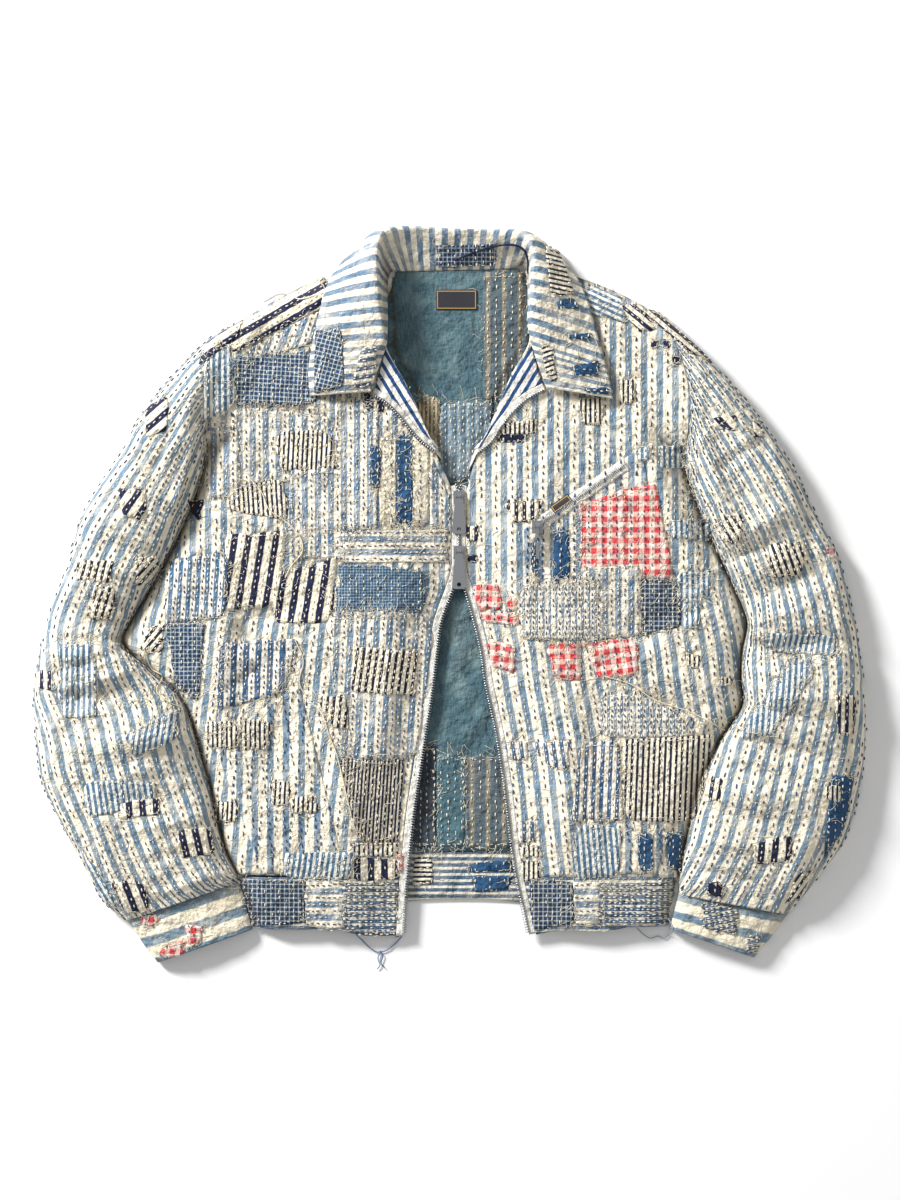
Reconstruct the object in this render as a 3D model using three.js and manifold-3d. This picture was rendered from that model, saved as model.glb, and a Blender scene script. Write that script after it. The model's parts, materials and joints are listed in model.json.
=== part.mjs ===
// Patched boro jacket with a two-way zip, laid flat on its back, in millimetres, +Z up.
// Plan positions in the tables are millimetres on a laying-out table: x to the right from its
// left edge and y towards the hem from its far edge. plan() turns them into the part's own frame,
// with +X to the right, +Y towards the collar and the origin in the middle, on the surface.
import * as THREE from "three";
import { mergeVertices } from "three/addons/utils/BufferGeometryUtils.js";
import Module from "manifold-3d";

const wasm = await Module();
wasm.setup();

// Driving dimensions
const TABLE_CENTRE = { x: 449.69, y: 594.78 };
const CLOTH = 2.0;
const LINING = 1.4;
const BACK_CLOTH = 1.6;
const FOOT_HEIGHT = 0.05;
const HEM_CLOTH = 3.2;
const PATCH_CLOTH = 0.8;
const SEAM_GAP = 0.6;
const ARMHOLE_GAP = 1.0;
const SIDE_GAP = 2.2;
const FLOOR_INSET = CLOTH + 1.4;
const UNDER_INSET = CLOTH + 0.9;
const LINING_TOP = 3.5;
const SIDE_ROUND = 34;
const EDGE_BLEND = 52;
const HEM_DEPTH = 50;
const TAPE_CLOTH = 1.8;
const TAPE_TOP = 11;
const LAPEL_LIFT = 2.7;
const LAID_GAP = 0.35;
const ROLL_END = 486;
const SIDE_START = 5.2;
const ZIP_CENTRE = 459;
const BRIDGE_HEIGHT = 4.7;
const BRIDGE = { bar: 1.0, eye: 1.35, barrel: 2.3, half: 2.2, post: 1.3 };
const PULL = { length: 38, topWidth: 8, endWidth: 14, plate: 1.5, eye: 2.2, droop: 4 };
const CHAIN = { width: 2.4, ring: 4.2, hole: 2.4, ringAt: 14.5, tip: 15, plate: 1.4, droop: 5 };
const POCKET_SLIDER = { x: 537, y: 526 };
const LOOP_LIFT = 2.1;

const COLOURS = {
  stripe: 0xd9dcd4,
  lining: 0x5e7f88,
  denim: 0x2f5f98,
  navy: 0x1d2946,
  check: 0x7f9cbb,
  red: 0xe2474a,
  tape: 0xeceae2,
  metal: 0xb9bbbd,
  label: 0x1b1b22,
};

/** Turns a table of plain rows into records with named columns. */
function rowsOf(columns, rows) {
  return rows.map((row) => Object.fromEntries(columns.map((name, k) => [name, row[k]])));
}

// Front panels. A row runs from the sleeve (out) to the neck, roll line or zip (in). station and
// turn give the row's outer end on the sleeve: the station counted from the armhole, and the share
// of the way across it, where 1 is the sleeve's inner edge. bow lifts the row's middle towards the
// collar, inZ is the height of its inner end, and crown is the height of the cloth between.
const FRONT_COLUMNS = ["station", "turn", "inX", "inY", "bow", "inZ", "crown"];
const FRONT_LEFT_ROWS = rowsOf(FRONT_COLUMNS, [
  [0, 0, 386, 273, 13, 0, 0],
  [0, 0.24, 386, 286, 11, 6, 15],
  [0, 0.4, 387, 303, 8, 9, 17],
  [0, 0.56, 387, 325, 6, 16, 18],
  [0, 0.74, 387, 349, 4, 23, 19],
  [0, 0.96, 407, 386, 3, 22, 20],
  [1, 1, 423, 421, 2, 19, 20],
  [2, 1, 436, 454, 1, 15, 20],
  [3, 1, 451, 490, 0, 11, 20],
  [4, 1, 451.6, 522, 0, 11, 20],
  [5, 1, 451.6, 556, 0, 11, 20],
  [6, 1, 445, 590, 0, 11, 20],
  [7, 1, 433.5, 622, 0, 10.5, 21],
  [8, 1, 429, 655, 0, 10.5, 21],
  [9, 1, 424.5, 692, 0, 10.5, 20],
  [9.5, 1, 419, 728, 0, 10.5, 20],
  [10, 1, 413.5, 764, 0, 10.5, 19],
  [11, 1, 406.5, 810, 0, 10.5, 19],
  [12, 1, 402, 850, 0, 10, 18],
  [13, 1, 399.5, 876, 0, 10, 16],
]);
const FRONT_RIGHT_ROWS = rowsOf(FRONT_COLUMNS, [
  [0, 0, 530, 267, 7, 0, 0],
  [0, 0.24, 530, 284, 7, 6, 15],
  [0, 0.4, 529, 302, 4, 9, 17],
  [0, 0.56, 529, 322, 2, 15, 18],
  [0, 0.74, 528, 345, 1, 22, 19],
  [0, 0.96, 512, 374, 0, 22, 20],
  [1, 1, 494, 416, 0, 19, 20],
  [2, 1, 478, 452, 0, 15, 20],
  [3, 1, 468, 488, 0, 11, 20],
  [4, 1, 466.4, 522, 0, 11, 20],
  [5, 1, 466.4, 556, 0, 11, 20],
  [6, 1, 473, 590, 0, 11, 20],
  [7, 1, 482, 622, 0, 10.5, 21],
  [8, 1, 489, 650, 0, 10.5, 21],
  [9, 1, 493, 680, 0, 10.5, 20],
  [9.5, 1, 499, 709, 0, 10.5, 20],
  [10, 1, 505.5, 741, 0, 10.5, 19],
  [11, 1, 512.5, 788, 0, 10.5, 19],
  [12, 1, 519, 842, 0, 10, 18],
  [13, 1, 524, 876, 0, 10, 16],
]);

// Sleeves. A station crosses the sleeve from its outer edge to its inner edge, and bow moves the
// middle of the crossing towards the cuff.
const SLEEVE_COLUMNS = ["outX", "outY", "inX", "inY", "bow", "height"];
const SLEEVE_LEFT_STATIONS = rowsOf(SLEEVE_COLUMNS, [
  [243, 319.4, 206, 449, 6, 27],
  [206, 342, 203, 471, 5, 33],
  [171, 378, 192, 505, 3, 37],
  [142, 415, 180, 532, 2, 38],
  [115, 461, 165, 562, 1, 37],
  [84, 512, 148, 592, 0, 36],
  [67, 568, 131, 620, 0, 34],
  [47, 622, 123, 644, 0, 33],
  [35, 686, 150, 670, 0, 37],
  [36, 733, 182, 700, 0, 39],
  [42, 780, 201, 757, 0, 39],
  [61, 822, 214, 805, 0, 37],
  [82, 861, 224, 847, 0, 33],
  [103, 900, 237, 874, 0, 27],
  [126, 920.5, 239.5, 881, 0, 22],
]);
const SLEEVE_RIGHT_STATIONS = rowsOf(SLEEVE_COLUMNS, [
  [652, 310.4, 684, 453, 18, 27],
  [681, 333, 686, 473, 13, 33],
  [711, 362, 695, 499, 8, 37],
  [741, 394, 708, 532, 6, 38],
  [769, 431, 722, 562, 3, 37],
  [795, 470, 735, 590, 0, 36],
  [813, 510, 747, 622, 0, 35],
  [838, 556, 742, 651, 0, 34],
  [852, 610, 741, 677, 0, 35],
  [861, 665, 742, 706, 0, 38],
  [865, 725, 720, 741, 0, 39],
  [860, 785, 699, 788, 0, 38],
  [845, 838, 686, 841, 0, 34],
  [817, 878, 679, 877, 0, 27],
  [789, 914, 678.5, 893.5, 0, 22],
]);

// Cuffs, from the sleeve's end to the free edge.
const CUFF_COLUMNS = ["outX", "outY", "inX", "inY", "height"];
const CUFF_LEFT_STATIONS = rowsOf(CUFF_COLUMNS, [
  [129.4, 920, 240.4, 881.2, 18],
  [142, 941, 247, 906, 17],
  [158, 962, 253, 929, 15],
]);
const CUFF_RIGHT_STATIONS = rowsOf(CUFF_COLUMNS, [
  [786.3, 914.2, 678.3, 893.8, 18],
  [771, 936, 673.5, 912, 17],
  [754, 957, 669, 928, 15],
]);

// Hem bands of the fronts, side to zip, top edge and free edge.
const HEM_COLUMNS = ["outX", "outY", "inX", "inY", "sag", "inZ", "crown"];
const HEM_LEFT_ROWS = rowsOf(HEM_COLUMNS, [
  [243, 878, 399.5, 878, 0, 10, 15.5],
  [250, 903, 397.5, 906, 0, 9.5, 14],
  [256, 926, 396, 935, 2, 9, 12],
]);
const HEM_RIGHT_ROWS = rowsOf(HEM_COLUMNS, [
  [675, 878, 524, 878, 0, 10, 15.5],
  [670, 903, 530, 905, 0, 9.5, 14],
  [666, 924, 536, 934, -2, 9, 12],
]);

// Collar, from its left front end round the back of the neck to its right front end:
// neck seam (n), roll line (r) and free edge (e) with their heights, and how far the leaf swells.
const COLLAR_COLUMNS = ["nx", "ny", "nz", "rx", "ry", "rz", "ex", "ey", "ez", "swell"];
const COLLAR_STATIONS = rowsOf(COLLAR_COLUMNS, [
  [371, 393, 28, 344, 395, 30, 311, 397, 25, 0],
  [379, 369, 29, 358, 371, 33, 309, 374, 25, 0],
  [387, 346, 28, 383, 345, 36, 312, 350, 25, 1],
  [388, 325, 20, 382, 325, 40, 316, 330, 24, 2],
  [388, 303, 13, 379, 302, 41, 321, 309, 23, 2],
  [388, 287, 9, 377, 278, 41, 326, 290, 19, 2],
  [391, 273, 6.6, 377, 250, 37, 338, 267, 8, 2],
  [402, 271.6, 4.4, 385, 233, 31, 366, 243, 0.4, 5],
  [418, 271.4, 4.2, 414, 229, 26, 410, 252, 0.4, 12],
  [448, 270.7, 4.2, 448, 231.5, 25, 448, 260, 0.4, 15],
  [482, 269.9, 4.2, 484, 232.5, 26, 484, 256, 0.4, 12],
  [510, 269, 4.4, 520, 236, 31, 534, 240, 0.4, 5],
  [523, 267, 6.6, 532, 252, 37, 566, 264, 8, 2],
  [527, 285, 9, 532, 280, 41, 584, 294, 19, 2],
  [527, 303, 13, 531, 303, 41, 592, 320, 23, 2],
  [527, 322, 20, 532, 323, 40, 599, 345, 24, 2],
  [530, 342, 28, 537, 345, 36, 605, 366, 25, 1],
  [537, 365, 29, 560, 371, 33, 609, 383, 25, 0],
  [546, 389, 28, 576, 394, 30, 612, 400, 25, 0],
]);

// Turned-back facings: their roll edges, from the neck seam to the point.
const FACING_COLUMNS = ["ax", "ay"];
const FACING_LEFT_ROWS = rowsOf(FACING_COLUMNS, [
  [386, 350],
  [397, 369],
  [407, 388],
  [416, 407],
  [424, 425],
  [434, 447],
]);
const FACING_RIGHT_ROWS = rowsOf(FACING_COLUMNS, [
  [531, 347],
  [519, 366],
  [510, 381],
  [501, 401],
  [493, 421],
  [481, 447],
]);

// Zip tapes by their teeth lines. On the lapels the tape twists into its edge at the end.
const LAPEL_TAPE_COLUMNS = ["tx", "ty", "width"];
const LAPEL_TAPE_LEFT = rowsOf(LAPEL_TAPE_COLUMNS, [
  [372, 394.4, 6.6],
  [388, 405, 6.6],
  [400, 417, 6.6],
  [411, 431, 6.6],
  [423, 443, 6.6],
  [437.5, 454.5, 5],
  [446, 466, 3],
  [452.5, 479, 2],
]);
const LAPEL_TAPE_RIGHT = rowsOf(LAPEL_TAPE_COLUMNS, [
  [545, 390.4, 6.6],
  [527, 400, 6.6],
  [512, 414, 6.6],
  [500, 429, 6.6],
  [491, 443, 6.6],
  [477, 454.5, 5],
  [470.5, 466, 3],
  [465, 479, 2],
]);
const TAPE_COLUMNS = ["tx", "ty", "z", "width"];
const TAPE_LEFT = rowsOf(TAPE_COLUMNS, [
  [455.5, 485, 11, 4.5],
  [457.5, 491, 11, 6],
  [458.75, 498, 11, 6.6],
  [458.75, 530, 11, 6.6],
  [458.75, 562, 11, 6.6],
  [456.5, 576, 11, 6.6],
  [452, 590, 11, 6.6],
  [440.5, 622, 10.5, 6.6],
  [436, 655, 10.5, 6.6],
  [431.5, 692, 10.5, 6.6],
  [426, 728, 10.5, 6.6],
  [420.5, 764, 10.5, 6.6],
  [413.5, 810, 10.5, 6.6],
  [409, 852, 10, 6.6],
  [406.5, 877, 10, 6.6],
  [404.5, 906, 9.5, 6.6],
  [403, 935, 9, 6.6],
]);
const TAPE_RIGHT = rowsOf(TAPE_COLUMNS, [
  [462.5, 485, 11, 4.5],
  [460.5, 491, 11, 6],
  [459.25, 498, 11, 6.6],
  [459.25, 530, 11, 6.6],
  [459.25, 562, 11, 6.6],
  [461.5, 576, 11, 6.6],
  [466, 590, 11, 6.6],
  [475, 622, 10.5, 6.6],
  [482, 652, 10.5, 6.6],
  [486, 681, 10.5, 6.6],
  [492, 709, 10.5, 6.6],
  [498.5, 741, 10.5, 6.6],
  [505.5, 788, 10.5, 6.6],
  [512, 843, 10, 6.6],
  [517, 877, 10, 6.6],
  [523, 905, 9.5, 6.6],
  [529, 934, 9, 6.6],
]);

// Largest folds, as soft ridges (height above 0) and troughs (below 0) along a line.
const FOLD_COLUMNS = ["x0", "y0", "x1", "y1", "half", "height"];
const BODY_FOLDS = rowsOf(FOLD_COLUMNS, [
  [238, 372, 330, 412, 13, 4],
  [228, 430, 300, 500, 14, -4],
  [215, 505, 300, 545, 12, 4],
  [225, 640, 300, 600, 14, -4],
  [230, 560, 222, 720, 12, 4],
  [360, 440, 385, 560, 13, 3],
  [330, 700, 350, 860, 14, 4],
  [262, 790, 300, 690, 15, -3],
  [395, 600, 385, 840, 13, 3],
  [640, 430, 690, 560, 14, 4],
  [560, 440, 520, 560, 13, 3],
  [640, 650, 725, 700, 14, 4],
  [575, 700, 560, 860, 14, 4],
  [690, 610, 600, 640, 13, -4],
  [650, 760, 690, 850, 13, -3],
  [520, 650, 540, 840, 13, -3],
]);
const SLEEVE_FOLDS = rowsOf(FOLD_COLUMNS, [
  [210, 360, 165, 470, 13, 4],
  [188, 490, 120, 440, 13, -5],
  [160, 560, 95, 540, 12, -6],
  [125, 640, 50, 600, 13, -8],
  [140, 655, 45, 655, 11, 5],
  [175, 690, 60, 700, 12, -6],
  [190, 735, 90, 745, 12, 5],
  [205, 790, 110, 800, 13, -4],
  [120, 905, 95, 800, 12, 4],
  [700, 400, 745, 500, 13, -5],
  [722, 540, 790, 510, 12, 5],
  [745, 600, 820, 570, 13, -6],
  [748, 650, 850, 640, 12, -8],
  [748, 690, 855, 700, 12, 5],
  [735, 735, 830, 760, 12, -6],
  [705, 790, 800, 800, 12, 4],
  [780, 900, 815, 820, 12, 4],
]);

// Raised patches: what they lie on, centre, half sizes and turn in plan, and how square the
// outline is.
const PATCH_COLUMNS = ["name", "on", "cx", "cy", "halfX", "halfY", "turn", "square", "colour"];
const PATCHES = rowsOf(PATCH_COLUMNS, [
  ["patch_blue_check", "front_left", 270, 385, 37, 28, 5, 3.5, "check"],
  ["patch_oval_stripes", "front_left", 305, 452, 30, 20, 0, 2.6, "stripe"],
  ["patch_navy_stripes", "front_left", 254, 570, 28, 34, 8, 4, "navy"],
  ["patch_navy_stripes_small", "front_left", 312, 598, 26, 21, 8, 4, "navy"],
  ["patch_fine_check", "front_left", 382, 589, 42, 22, 0, 4, "check"],
  ["patch_denim_bar", "front_left", 404.5, 482, 7.5, 41, 0, 8, "denim"],
  ["patch_dark_stripes", "front_left", 374, 797, 26, 40, 6, 4, "navy"],
  ["patch_red_zip", "front_right", 492, 598, 14, 15, 10, 4, "red"],
  ["patch_red_low", "front_right", 564, 661, 19, 17, 4, 3, "red"],
  ["patch_red_low_side", "front_right", 611, 659, 25, 17, 0, 4, "red"],
  ["patch_pocket_stripes", "front_right pocket_slash_right", 652, 778, 36, 42, 8, 4, "navy"],
  ["patch_sleeve_navy_oval", "sleeve_left_upper", 196, 842, 17, 15, 20, 2.4, "navy"],
  ["patch_sleeve_fine_stripes", "sleeve_left_upper", 120, 798, 36, 22, 4, 3, "check"],
  ["patch_sleeve_diagonal", "sleeve_right_upper", 776, 697, 24, 38, -20, 3, "check"],
  ["patch_sleeve_oval", "sleeve_right_upper", 836, 714, 8, 18, 10, 2.4, "navy"],
]);

// Pocket bags sewn on the fronts and the chest pocket's zip: four corners in plan, and the cells
// across and down.
const QUAD_COLUMNS = [
  "name", "on", "ax", "ay", "bx", "by", "cx", "cy", "dx", "dy", "across", "down", "colour",
];
const QUAD_PIECES = rowsOf(QUAD_COLUMNS, [
  ["pocket_slash_left", "front_left", 214, 742, 300, 684, 346, 873, 264, 873, 6, 6, "stripe"],
  ["pocket_slash_right", "front_right", 612, 678, 706, 724, 656, 873, 578, 873, 6, 6, "stripe"],
  ["pocket_chest", "front_right", 522, 531, 641, 447, 670, 632, 530, 638, 6, 6, "stripe"],
  ["pocket_chest_zip", "front_right pocket_chest", 530, 523, 622, 459, 629, 470, 537, 534, 5, 1, "tape"],
  ["patch_red_check", "front_right pocket_chest", 581, 514, 657, 484, 667, 577, 584, 578, 4, 5, "red"],
  ["label_chest_blank", "pocket_chest pocket_chest_zip", 549, 507, 567, 494, 572, 501, 554, 514, 1, 1, "label"],
]);

// Part frame and small helpers

/** A point of the plan, at height z, in the part's own frame. */
function plan(x, y, z = 0) {
  return new THREE.Vector3(x - TABLE_CENTRE.x, TABLE_CENTRE.y - y, z);
}

function mix(a, b, t) {
  return a + (b - a) * t;
}

function clamp(value, low, high) {
  return Math.min(high, Math.max(low, value));
}

function clamp01(t) {
  return clamp(t, 0, 1);
}

function smooth(t) {
  const s = clamp01(t);
  return s * s * (3 - 2 * s);
}

/** Quarter-ellipse rise from 0 at t = 0 to 1 at t = 1, upright at its foot. */
function roundRise(t) {
  const s = 1 - clamp01(t);
  return Math.sqrt(1 - s * s);
}

/** Catmull-Rom value of one column at a fractional row number. */
function columnAt(rows, name, t) {
  const last = rows.length - 1;
  const k = Math.min(last - 1, Math.max(0, Math.floor(t)));
  const f = t - k;
  const p1 = rows[k][name];
  const p2 = rows[k + 1][name];
  const p0 = k > 0 ? rows[k - 1][name] : 2 * p1 - p2;
  const p3 = k + 2 <= last ? rows[k + 2][name] : 2 * p2 - p1;
  const a = 2 * p1;
  const b = p2 - p0;
  const c = 2 * p0 - 5 * p1 + 4 * p2 - p3;
  const d = 3 * p1 - p0 - 3 * p2 + p3;
  return 0.5 * (a + b * f + c * f * f + d * f * f * f);
}

/** All columns of a table at a fractional row number. */
function rowAt(rows, t) {
  return Object.fromEntries(Object.keys(rows[0]).map((name) => [name, columnAt(rows, name, t)]));
}

function evenSteps(from, to, count) {
  return Array.from({ length: count + 1 }, (_, k) => mix(from, to, k / count));
}

/** Sum of the folds at a plan position: each fades along its line's ends and across its width. */
function foldHeight(folds, x, y) {
  let total = 0;
  for (const fold of folds) {
    const dx = fold.x1 - fold.x0;
    const dy = fold.y1 - fold.y0;
    const along = ((x - fold.x0) * dx + (y - fold.y0) * dy) / (dx * dx + dy * dy);
    const held = clamp01(along);
    const offX = x - fold.x0 - held * dx;
    const offY = y - fold.y0 - held * dy;
    const across = (offX * offX + offY * offY) / (fold.half * fold.half);
    total += fold.height * Math.exp(-across) * Math.sin(Math.PI * mix(0.12, 0.88, held));
  }
  return total;
}

// Closed sheets

/** Unit normals of a grid of points from the differences between neighbours. */
function gridNormals(grid, ring) {
  const rows = grid.length;
  const cols = grid[0].length;
  const normals = grid.map((row, i) =>
    row.map((_, j) => {
      const up = grid[Math.min(rows - 1, i + 1)][j];
      const down = grid[Math.max(0, i - 1)][j];
      const right = grid[i][ring ? (j + 1) % cols : Math.min(cols - 1, j + 1)];
      const left = grid[i][ring ? (j + cols - 1) % cols : Math.max(0, j - 1)];
      const along = up.clone().sub(down);
      const across = right.clone().sub(left);
      return along.cross(across).normalize();
    }),
  );
  return normals;
}

/** Closed wall between a grid of outer points and the same points moved in by the thickness. */
function sheetGeometry(grid, thickness, { ring = false, flip = null, flat = false } = {}) {
  const rows = grid.length;
  const cols = grid[0].length;
  const normals = gridNormals(grid, ring);
  const rise = normals.flat().reduce((sum, n) => sum + n.z, 0);
  const turned = flip === null ? rise < 0 : flip;
  const sign = turned ? -1 : 1;
  const outer = grid.flat();
  const inner = grid.flatMap((row, i) =>
    row.map((p, j) => {
      const way = normals[i][j].clone();
      if (flat) {
        way.set(0, 0, sign);
      } else if (!ring && p.z < FOOT_HEIGHT) {
        way.setZ(0).normalize();
      }
      const moved = p.clone().addScaledVector(way, -sign * thickness);
      return moved.setZ(Math.max(0, moved.z));
    }),
  );
  const points = [...outer, ...inner];
  const shift = rows * cols;
  const faces = [];
  const quad = (a, b, c, d) => {
    const corners = turned ? [a, d, c, b] : [a, b, c, d];
    faces.push([corners[0], corners[1], corners[2]], [corners[0], corners[2], corners[3]]);
  };
  const at = (i, j) => i * cols + (j % cols);
  const lastCol = ring ? cols : cols - 1;
  for (let i = 0; i < rows - 1; i += 1) {
    for (let j = 0; j < lastCol; j += 1) {
      quad(at(i, j), at(i + 1, j), at(i + 1, j + 1), at(i, j + 1));
      quad(at(i, j) + shift, at(i, j + 1) + shift, at(i + 1, j + 1) + shift, at(i + 1, j) + shift);
    }
  }
  for (let j = 0; j < lastCol; j += 1) {
    quad(at(0, j), at(0, j + 1), at(0, j + 1) + shift, at(0, j) + shift);
    quad(at(rows - 1, j), at(rows - 1, j) + shift, at(rows - 1, j + 1) + shift, at(rows - 1, j + 1));
  }
  if (!ring) {
    for (let i = 0; i < rows - 1; i += 1) {
      quad(at(i, 0), at(i, 0) + shift, at(i + 1, 0) + shift, at(i + 1, 0));
      quad(at(i, cols - 1), at(i + 1, cols - 1), at(i + 1, cols - 1) + shift, at(i, cols - 1) + shift);
    }
  }
  return geometryOf(points, faces);
}

function geometryOf(points, faces) {
  const geometry = new THREE.BufferGeometry();
  const coordinates = new Float32Array(points.flatMap((p) => [p.x, p.y, p.z]));
  geometry.setAttribute("position", new THREE.BufferAttribute(coordinates, 3));
  geometry.setIndex(faces.flat());
  return geometry;
}

/** Height of a grid's facets over a point of the plan, or null beside them. */
function facetHeight(grid, x, y) {
  const px = x - TABLE_CENTRE.x;
  const py = TABLE_CENTRE.y - y;
  let best = null;
  const test = (a, b, c) => {
    const area = (b.x - a.x) * (c.y - a.y) - (c.x - a.x) * (b.y - a.y);
    if (Math.abs(area) < 1e-9) {
      return;
    }
    const u = ((px - a.x) * (c.y - a.y) - (c.x - a.x) * (py - a.y)) / area;
    const v = ((b.x - a.x) * (py - a.y) - (px - a.x) * (b.y - a.y)) / area;
    if (u >= -1e-6 && v >= -1e-6 && u + v <= 1 + 1e-6) {
      const z = a.z + u * (b.z - a.z) + v * (c.z - a.z);
      best = best === null ? z : Math.max(best, z);
    }
  };
  for (let i = 0; i < grid.length - 1; i += 1) {
    for (let j = 0; j < grid[0].length - 1; j += 1) {
      test(grid[i][j], grid[i + 1][j], grid[i + 1][j + 1]);
      test(grid[i][j], grid[i + 1][j + 1], grid[i][j + 1]);
    }
  }
  return best;
}

// Panels

const FRONT_CHORDS = [0, 0.008, 0.035, 0.085, 0.16, 0.27, 0.4, 0.53, 0.66, 0.79, 0.9, 1];
const FRONT_STEPS = [0, 0.05, 0.2, 0.5, ...evenSteps(1, 19, 22)];

/** Point of a grid at fractional row and column numbers. */
function pointIn(grid, i, j) {
  const low = Math.min(grid.length - 2, Math.floor(i));
  const left = Math.min(grid[0].length - 2, Math.floor(j));
  const a = grid[low][left].clone().lerp(grid[low + 1][left], i - low);
  const b = grid[low][left + 1].clone().lerp(grid[low + 1][left + 1], i - low);
  return a.lerp(b, j - left);
}

/** A front's outer end beside the sleeve: its plan place, moved off by the gap, and height. */
function besideSleeve(sleeve, rows, t, gap) {
  const last = sleeve[0].length - 1;
  const place = (s) => {
    const at = clamp(s, 0, rows.length - 1);
    const station = Math.max(0, columnAt(rows, "station", at));
    const turn = clamp01(columnAt(rows, "turn", at));
    return pointIn(sleeve, 2 * station, last * turn);
  };
  const here = place(t);
  const way = place(t + 0.12).sub(place(t - 0.12)).setZ(0).normalize();
  const off = new THREE.Vector3(-way.y, way.x, 0);
  const towards = plan(columnAt(rows, "inX", t), columnAt(rows, "inY", t)).sub(here);
  const side = off.dot(towards) < 0 ? -1 : 1;
  const moved = here.clone().addScaledVector(off, side * gap);
  return { x: moved.x + TABLE_CENTRE.x, y: TABLE_CENTRE.y - moved.y, z: Math.max(0, here.z) };
}

/** A front's row with both ends, its zip end being beside the tape's sewn edge. */
function frontRow(name, t, gap) {
  const { rows, sleeve, tape, side } = FRONTS[name];
  const row = rowAt(rows, t);
  const out = besideSleeve(panels[sleeve], rows, t, gap);
  const inX = row.inY > ROLL_END ? sewnEdgeAt(tape, row.inY) - side * SEAM_GAP : row.inX;
  return { ...row, outX: out.x, outY: out.y, outZ: out.z, inX };
}

/** Outer points of a front: rows from the shoulder to the hem seam, out edge to zip edge. */
function frontGrid(name) {
  return FRONT_STEPS.map((t) => {
    const wide = Math.max(smooth(t - SIDE_START + 1), 1 - smooth(t / 1.4));
    const row = frontRow(name, t, mix(ARMHOLE_GAP, SIDE_GAP, wide));
    const width = Math.hypot(row.inX - row.outX, row.inY - row.outY);
    return FRONT_CHORDS.map((c) => {
      const x = mix(row.outX, row.inX, c);
      const y = mix(row.outY, row.inY, c) - 4 * c * (1 - c) * row.bow;
      const z = frontHeight(row, c * width, (1 - c) * width, x, y);
      return plan(x, y, z * roundRise(t));
    });
  });
}

/** Height of a front at a distance from its out edge and from its zip edge. */
function frontHeight(row, fromOut, fromIn, x, y) {
  const seamed = clamp01(row.outZ / 8);
  const side = mix(roundRise(fromOut / SIDE_ROUND), smooth(fromOut / EDGE_BLEND), seamed);
  const held = mix(row.outZ, Math.max(1, row.crown), side);
  const base = mix(row.inZ, held, smooth(fromIn / EDGE_BLEND));
  const free = clamp01((fromOut - 6) / 30) * clamp01((fromIn - 4) / 40);
  return base + foldHeight(BODY_FOLDS, x, y) * free;
}

const SLEEVE_TURNS = evenSteps(0, 1, 11);

/** Point across a sleeve: chord share and height share of an upright-footed arch. */
function archAt(turn) {
  const c = Math.cos(Math.PI * turn);
  const s = Math.sin(Math.PI * turn);
  const chord = 0.5 * (1 - Math.sign(c) * Math.abs(c) ** 0.8);
  return { chord, rise: s <= 1e-9 ? 0 : s ** 0.7 };
}

/** Middle of a sleeve's crossing in plan. */
function crossingMiddle(stations, t) {
  const row = rowAt(stations, clamp(t, 0, stations.length - 1));
  return new THREE.Vector2((row.outX + row.inX) / 2, (row.outY + row.inY) / 2);
}

/** A sleeve's crossing: its columns, its width and the unit direction towards the cuff. */
function crossing(stations, t) {
  const row = rowAt(stations, t);
  const across = new THREE.Vector2(row.inX - row.outX, row.inY - row.outY);
  const down = new THREE.Vector2(-across.y, across.x).normalize();
  const way = crossingMiddle(stations, t + 0.5).sub(crossingMiddle(stations, t - 0.5));
  return { row, width: across.length(), down: down.multiplyScalar(down.dot(way) < 0 ? -1 : 1) };
}

function sleeveGrid(stations) {
  const steps = evenSteps(0, stations.length - 1, 2 * stations.length - 2);
  return steps.map((t) => {
    const { row, width, down } = crossing(stations, t);
    return SLEEVE_TURNS.map((turn) => {
      const { chord, rise } = archAt(turn);
      const push = 4 * chord * (1 - chord) * row.bow;
      const x = mix(row.outX, row.inX, chord) + down.x * push;
      const y = mix(row.outY, row.inY, chord) + down.y * push;
      const free = clamp01((rise * row.height) / 24) * clamp01(t / 1.5);
      const fold = foldHeight(SLEEVE_FOLDS, x, y) * free * clamp01(width / 80);
      return plan(x, y, row.height * rise + fold);
    });
  });
}

/** Plan place beside a sleeve's edge, moved in off the foot of its upper piece. */
function insideFoot(stations, t, end) {
  const before = rowAt(stations, Math.max(0, t - 0.2));
  const after = rowAt(stations, Math.min(stations.length - 1, t + 0.2));
  const wayX = after[`${end}X`] - before[`${end}X`];
  const wayY = after[`${end}Y`] - before[`${end}Y`];
  const off = new THREE.Vector2(-wayY, wayX).normalize();
  const row = rowAt(stations, t);
  const edge = new THREE.Vector2(row[`${end}X`], row[`${end}Y`]);
  const inside = crossingMiddle(stations, Math.min(t + 1, stations.length - 1)).sub(edge);
  return edge.addScaledVector(off, Math.sign(off.dot(inside)) * UNDER_INSET);
}

/** Flat cloth under a sleeve, inside the foot of its upper piece. */
function underSleeveGrid(stations) {
  const steps = [0.28, ...evenSteps(0.5, stations.length - 1, 2 * stations.length - 3)];
  return steps.map((t) => {
    const { row, down } = crossing(stations, t);
    const from = insideFoot(stations, t, "out");
    const to = insideFoot(stations, t, "in");
    return evenSteps(0, 1, 3).map((c) => {
      const push = 4 * c * (1 - c) * row.bow;
      const x = mix(from.x, to.x, c) + down.x * push;
      const y = mix(from.y, to.y, c) + down.y * push;
      return plan(x, y, BACK_CLOTH);
    });
  });
}

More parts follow.
